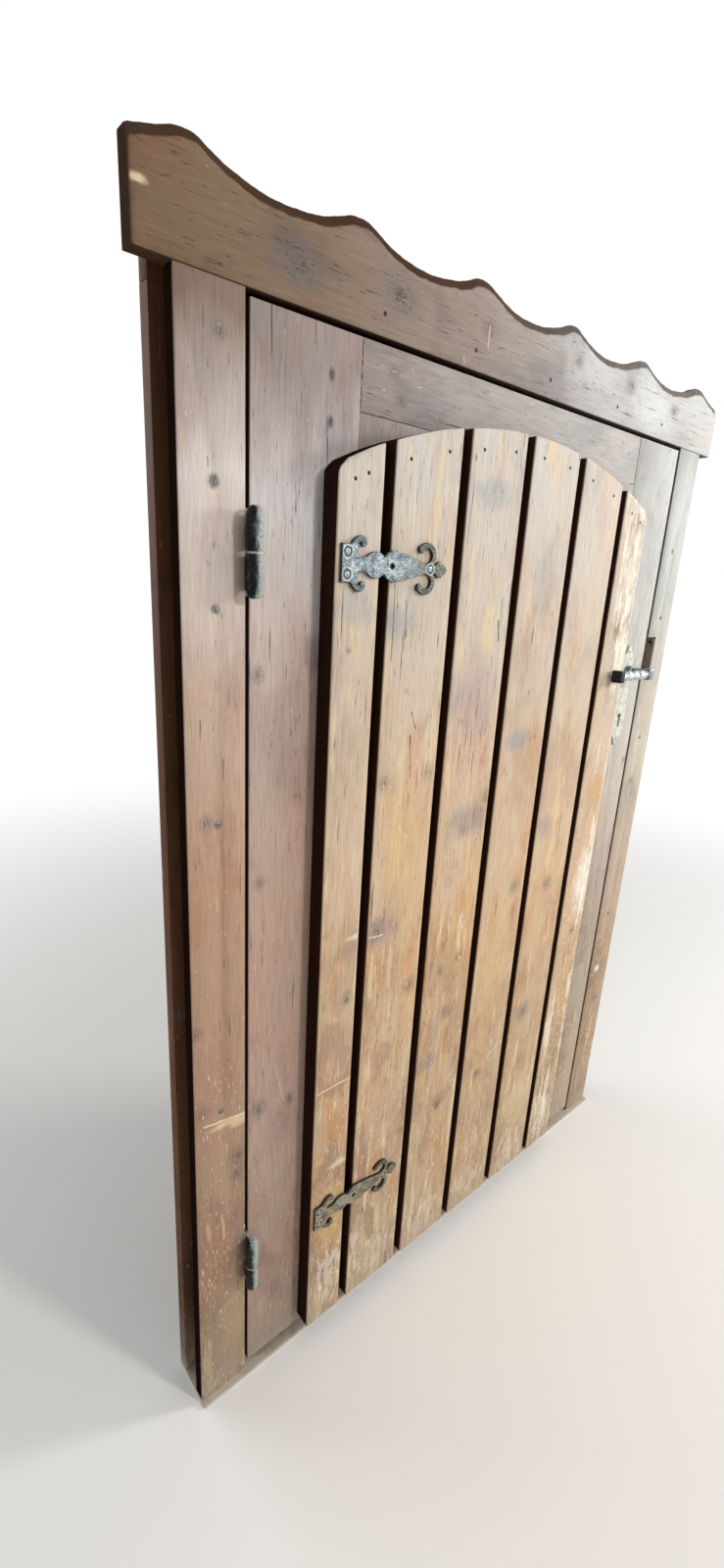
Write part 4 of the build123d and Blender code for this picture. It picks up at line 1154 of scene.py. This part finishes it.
header_wood = wood(
    "header_wood", "x", HEADER_TONES_WITH_GLARE, 3.0,
    knots=[(-376.5, 1469, 13), (-244.5, 1479, 14), (-95.5, 1483, 8),
           (99.5, 1492, 8), (243.5, 1490, 9), (387.5, 1482, 7)],
    patches=[(-539, 1481, 8, 3.5, "e3cdaa", 0.9), (-376.5, 1472, 46, 24, "5d5460", 0.25),
             (131.5, 1495, 60, 26, "d2d3d4", 0.45), (311.5, 1480, 60, 30, "dadcdd", 0.5)],
    scratches=[((-95.5, 1488), (-94.5, 1462), 1.2, "d8d2cc", 0.8),
               ((-136.5, 1446), (-135.5, 1436), 1.0, "d0c8c2", 0.7)],
    cracks=0.2, flecks=-0.6, worn=0.08, bare_tone="bda78b", side_stain_and_shade_tone="4a382c",
    side_mm=(-0.8, 0.2), foot=False, knot_share=0.9, right_tone="77716c")
piece("wavy_header_face", header_mesh(), header_wood, "frame", ("wavy_header",))

# The left casing's near black side is painted shade as well as stain.
casing_left_wood = wood(
    "casing_left_wood", "z", CASING_LEFT_TONES_WITH_PAINTED_LIGHT, 5.0,
    knots=[(-464.5, 1392, 5), (-486.5, 915, 6), (-503.5, 646, 6), (-498.5, 524, 7),
           (-445.5, 427, 9), (-448.5, 398, 6)],
    patches=[(-462, 491, 26, 4.5, "e0cba2", 0.75), (-445, 486, 14, 8, "e0cba2", 0.8),
             (-472.5, 110, 40, 90, "b9a585", 0.35), (-471.5, 1264, 5.5, 6, "3a2f29", 0.7),
             (-471.5, 1144, 5, 5, "54473f", 0.6), (-471.5, 910, 5, 5, "54473f", 0.6)],
    scratches=[((-500, 503), (-434, 492), 2.2, "ead9b4", 0.8)],
    cracks=0.3, flecks=0.35, worn=0.20, bare_tone="d2b48c", side_stain_and_shade_tone="22150f")
casing_right_wood = wood(
    "casing_right_wood", "z", CASING_RIGHT_TONES, 8.0,
    knots=[(466.5, 820, 6), (476.5, 300, 7)],
    patches=[(463.5, 380, 10, 8, "efece2", 0.8), (476.5, 1300, 30, 90, "c9cdca", 0.3)],
    cracks=0.2, flecks=0.6, worn=0.24, bare_tone="dbcdb2", side_stain_and_shade_tone="6a5543")
stile_left_wood = wood(
    "stile_left_wood", "z", STILE_LEFT_TONES_WITH_PAINTED_LIGHT, 11.0,
    knots=[(-421.5, 1075, 6), (-416.5, 824, 6), (-416.5, 487, 9), (-366.5, 477, 7)],
    patches=[(-333.5, 1384, 4, 6, "2b211d", 0.8), (-333.5, 1340, 4, 6, "332723", 0.8),
             (-348.5, 1096, 12, 20, "5e5354", 0.4), (-398.5, 60, 60, 40, "a79a86", 0.4)],
    scratches=[((-390.5, 550), (-372.5, 470), 0.9, "d8cbb8", 0.6),
               (*LEFT_JOINT_MM, 1.1, JOINT_COLOUR, 0.9)],
    cracks=0.3, flecks=0.35, worn=0.10, bare_tone="ccb193", side_stain_and_shade_tone="3a2820", back=("7d5f4c", 40.0))
stile_right_wood = wood(
    "stile_right_wood", "z", STILE_RIGHT_TONES, 14.0,
    knots=[(421.5, 870, 5)],
    patches=[(396.5, 560, 50, 150, "8f8078", 0.35)],
    scratches=[((403.5, 760), (409.5, 660), 1.6, "ddd6cc", 0.6),
               (*RIGHT_JOINT_MM, 1.1, JOINT_COLOUR, 0.9)],
    cracks=0.25, flecks=0.55, worn=0.14, bare_tone="dccfb8", side_stain_and_shade_tone="3d2c24",
    back=("7d5f4c", 40.0))
rail_wood = wood(
    "rail_wood", "x", RAIL_TONES_WITH_GLARE, 17.0, knots=[(-233.5, 1378, 6), (-246.5, 1404, 5)],
    scratches=[(*LEFT_JOINT_MM, 1.4, JOINT_COLOUR, 0.9), (*RIGHT_JOINT_MM, 1.4, JOINT_COLOUR, 0.9),
               (*RAIL_JOINT_MM, 1.1, JOINT_COLOUR, 0.7)],
    cracks=0.2, flecks=0.3, worn=0.08, bare_tone="d4c6b2", side_stain_and_shade_tone="3a2a24",
    back=("7a5c4a", 40.0))
infill_wood = wood(
    "infill_wood", "z", RAIL_TONES_WITH_GLARE, 18.0, cracks=0.2, flecks=0.25, worn=0.08,
    side_stain_and_shade_tone="6a4c3a", side_mm=(12, 18.0), back=("8d6d56", 24.0))
inner_wood = wood(
    "inner_wood", "z", ("z", [(0.0, "4f382c"), (0.5, "5b4032"), (1.0, "50372b")]), 26.0,
    cracks=0.3, flecks=0.1, side_stain_and_shade_tone="", foot=True)
# The rear casings' dark tones are partly the wood's own and partly painted shade of the channel they
# stand in.
rear_wood = wood(
    "rear_wood", "z", ("z", [(0.0, "5c3f2b"), (0.4, "6a4931"), (1.0, "5d402d")]), 29.0,
    knots=[(-500, 640, 8)], cracks=0.5, flecks=-0.6, worn=0.2, bare_tone="94704d",
    side_stain_and_shade_tone="")
rear_head_wood = wood(
    "rear_head_wood", "x", ("x", [(0.0, "5c3f2b"), (0.5, "6a4931"), (1.0, "5d402d")]), 31.0,
    cracks=0.5, flecks=-0.6, worn=0.2, bare_tone="94704d", side_stain_and_shade_tone="", foot=False)

ROUNDED = [
    ("left_casing", casing_left_wood, 1.2),
    ("right_casing", casing_right_wood, 1.2),
    ("left_stile", stile_left_wood, 1.2),
    ("right_stile", stile_right_wood, 1.0),
    ("top_rail", rail_wood, 0.8),
    ("middle_rail", rail_wood, 0.8),
    ("bottom_rail", rail_wood, 0.8),
    ("rear_left_casing", rear_wood, 1.2),
    ("rear_right_casing", rear_wood, 1.2),
    ("rear_head_casing", rear_head_wood, 1.2),
]
for node_name, timber, width in ROUNDED:
    rounded_copy(node_name, timber, width)

dress(infill_wood, "upper_infill_boards", "lower_infill_boards")
dress(inner_wood, "left_jamb", "right_jamb", "head_jamb", "hinge_side_stop", "lock_side_stop",
      "head_stop")

# Metals

strap_iron = old_iron("strap_iron", "8598a1", "d2e2ea", 0.03, 1.0, -0.012,
                      ("85816a", STRAP_CENTRES_MM[0]))
lower_strap_iron = old_iron("lower_strap_iron", "77725f", "b3aa96", 0.12, 1.1, 0.0,
                            ("7f7b68", STRAP_CENTRES_MM[1]))
plate_iron = old_iron("plate_iron", "bfc1b8", "dcdcd2", 0.0, 0.8, 0.035)
black_iron = hinge_finish()
lever_iron = lever_finish()
# Plain metals as colour, roughness, metallic share, dirt and the dirt's share
METALS = {
    "screw_iron": ("a9b3b6", 0.4, 0.5, "4c4a42", 0.5),
    "casing_iron": ("858b8a", 0.5, 0.2, "2a2724", 0.8),
    "nail_iron": ("2b2522", 0.8, 0.1, "171310", 0.6),
    "sunk_iron": ("4a4340", 0.6, 0.5, "2e2622", 0.6),
    "dark_steel": ("3a312b", 0.55, 0.7, "6a4630", 0.6),
    "bright_steel": ("9a9da0", 0.3, 0.9, "3a332b", 0.4),
    "washer_metal": ("9a958a", 0.3, 0.8, "5a4030", 0.9),
    "rusty_steel": ("857767", 0.75, 0.1, "5d4b3c", 0.8),
    "notch_metal": ("b3a597", 0.8, 0.0, "7d6c5c", 0.6),
    "sill_metal": ("bfb5a6", 0.65, 0.0, "8a7e6d", 0.6),
}
metals = {name: plain_metal(name, *look) for name, look in METALS.items()}

DRESSED = {
    "dark_steel": ("frame_hinge_screws", "strike_screws", "leaf_hinge_screws", "faceplate_screws"),
    "bright_steel": ("hinge_pins", "lock_case", "lock_cover", "lock_faceplate", "spindle",
                     "lock_follower", "latch_bolt", "dead_bolt"),
    "washer_metal": ("hinge_washers",),
    "rusty_steel": ("strike_plate",),
    "notch_metal": ("notch_plate",),
    "sill_metal": ("threshold",),
}
for metal_name, node_names in DRESSED.items():
    dress(metals[metal_name], *node_names)

# Flat castings by node: metal, the faces' places in y and how far the edges are rounded
CASTINGS = [
    ("upper_strap", strap_iron, STRAP_FRONT_MM, STRAP_BACK_MM, 1.5),
    ("lower_strap", lower_strap_iron, STRAP_FRONT_MM, STRAP_BACK_MM, 1.5),
    ("outer_plate", plate_iron, -PLATE_THICK_MM, 0.0, 0.9),
    ("inner_plate", plate_iron, LEAF_THICK_MM + PLATE_THICK_MM, LEAF_THICK_MM, 0.9),
]
for node_name, iron, front, back, rounding in CASTINGS:
    outlines = [softened(loop) for loop in face_loops(node_name, front)]
    mesh = cast_plate(node_name + "_face", outlines, front, back, rounding)
    piece(node_name + "_face", mesh, iron, "leaf", (node_name,))

for node_name, inside in (("outer_lever", False), ("inner_lever", True)):
    piece(node_name + "_face", lever_mesh(node_name + "_face", inside), lever_iron, "handle",
          (node_name,))

for node_name in ("frame_hinge_halves", "leaf_hinge_halves"):
    rounded_copy(node_name, black_iron, 0.35)

# Screws and nails, by node: metal, the face they stand in, slotted or not, sunk by and domed by
HEADS = [
    ("casing_screws", "casing_iron", "front", True, 0.7, 0.4),
    ("rear_casing_screws", "sunk_iron", "back", True, 0.5, 0.25),
    ("header_nails", "nail_iron", "front", False, -0.1, 0.05),
    ("plank_nails", "nail_iron", "front", False, -0.1, 0.05),
    ("strap_screws", "screw_iron", "front", True, 0.0, 0.3),
    ("plate_screws", "screw_iron", "nearest", True, 0.0, 0.3),
]
for node_name, metal_name, facing, slotted, sink, dome in HEADS:
    mesh = screw_heads(node_name + "_face", node_name, facing, slotted, sink, dome)
    piece(node_name + "_face", mesh, metals[metal_name], NODES[node_name]["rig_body"],
          (node_name,))
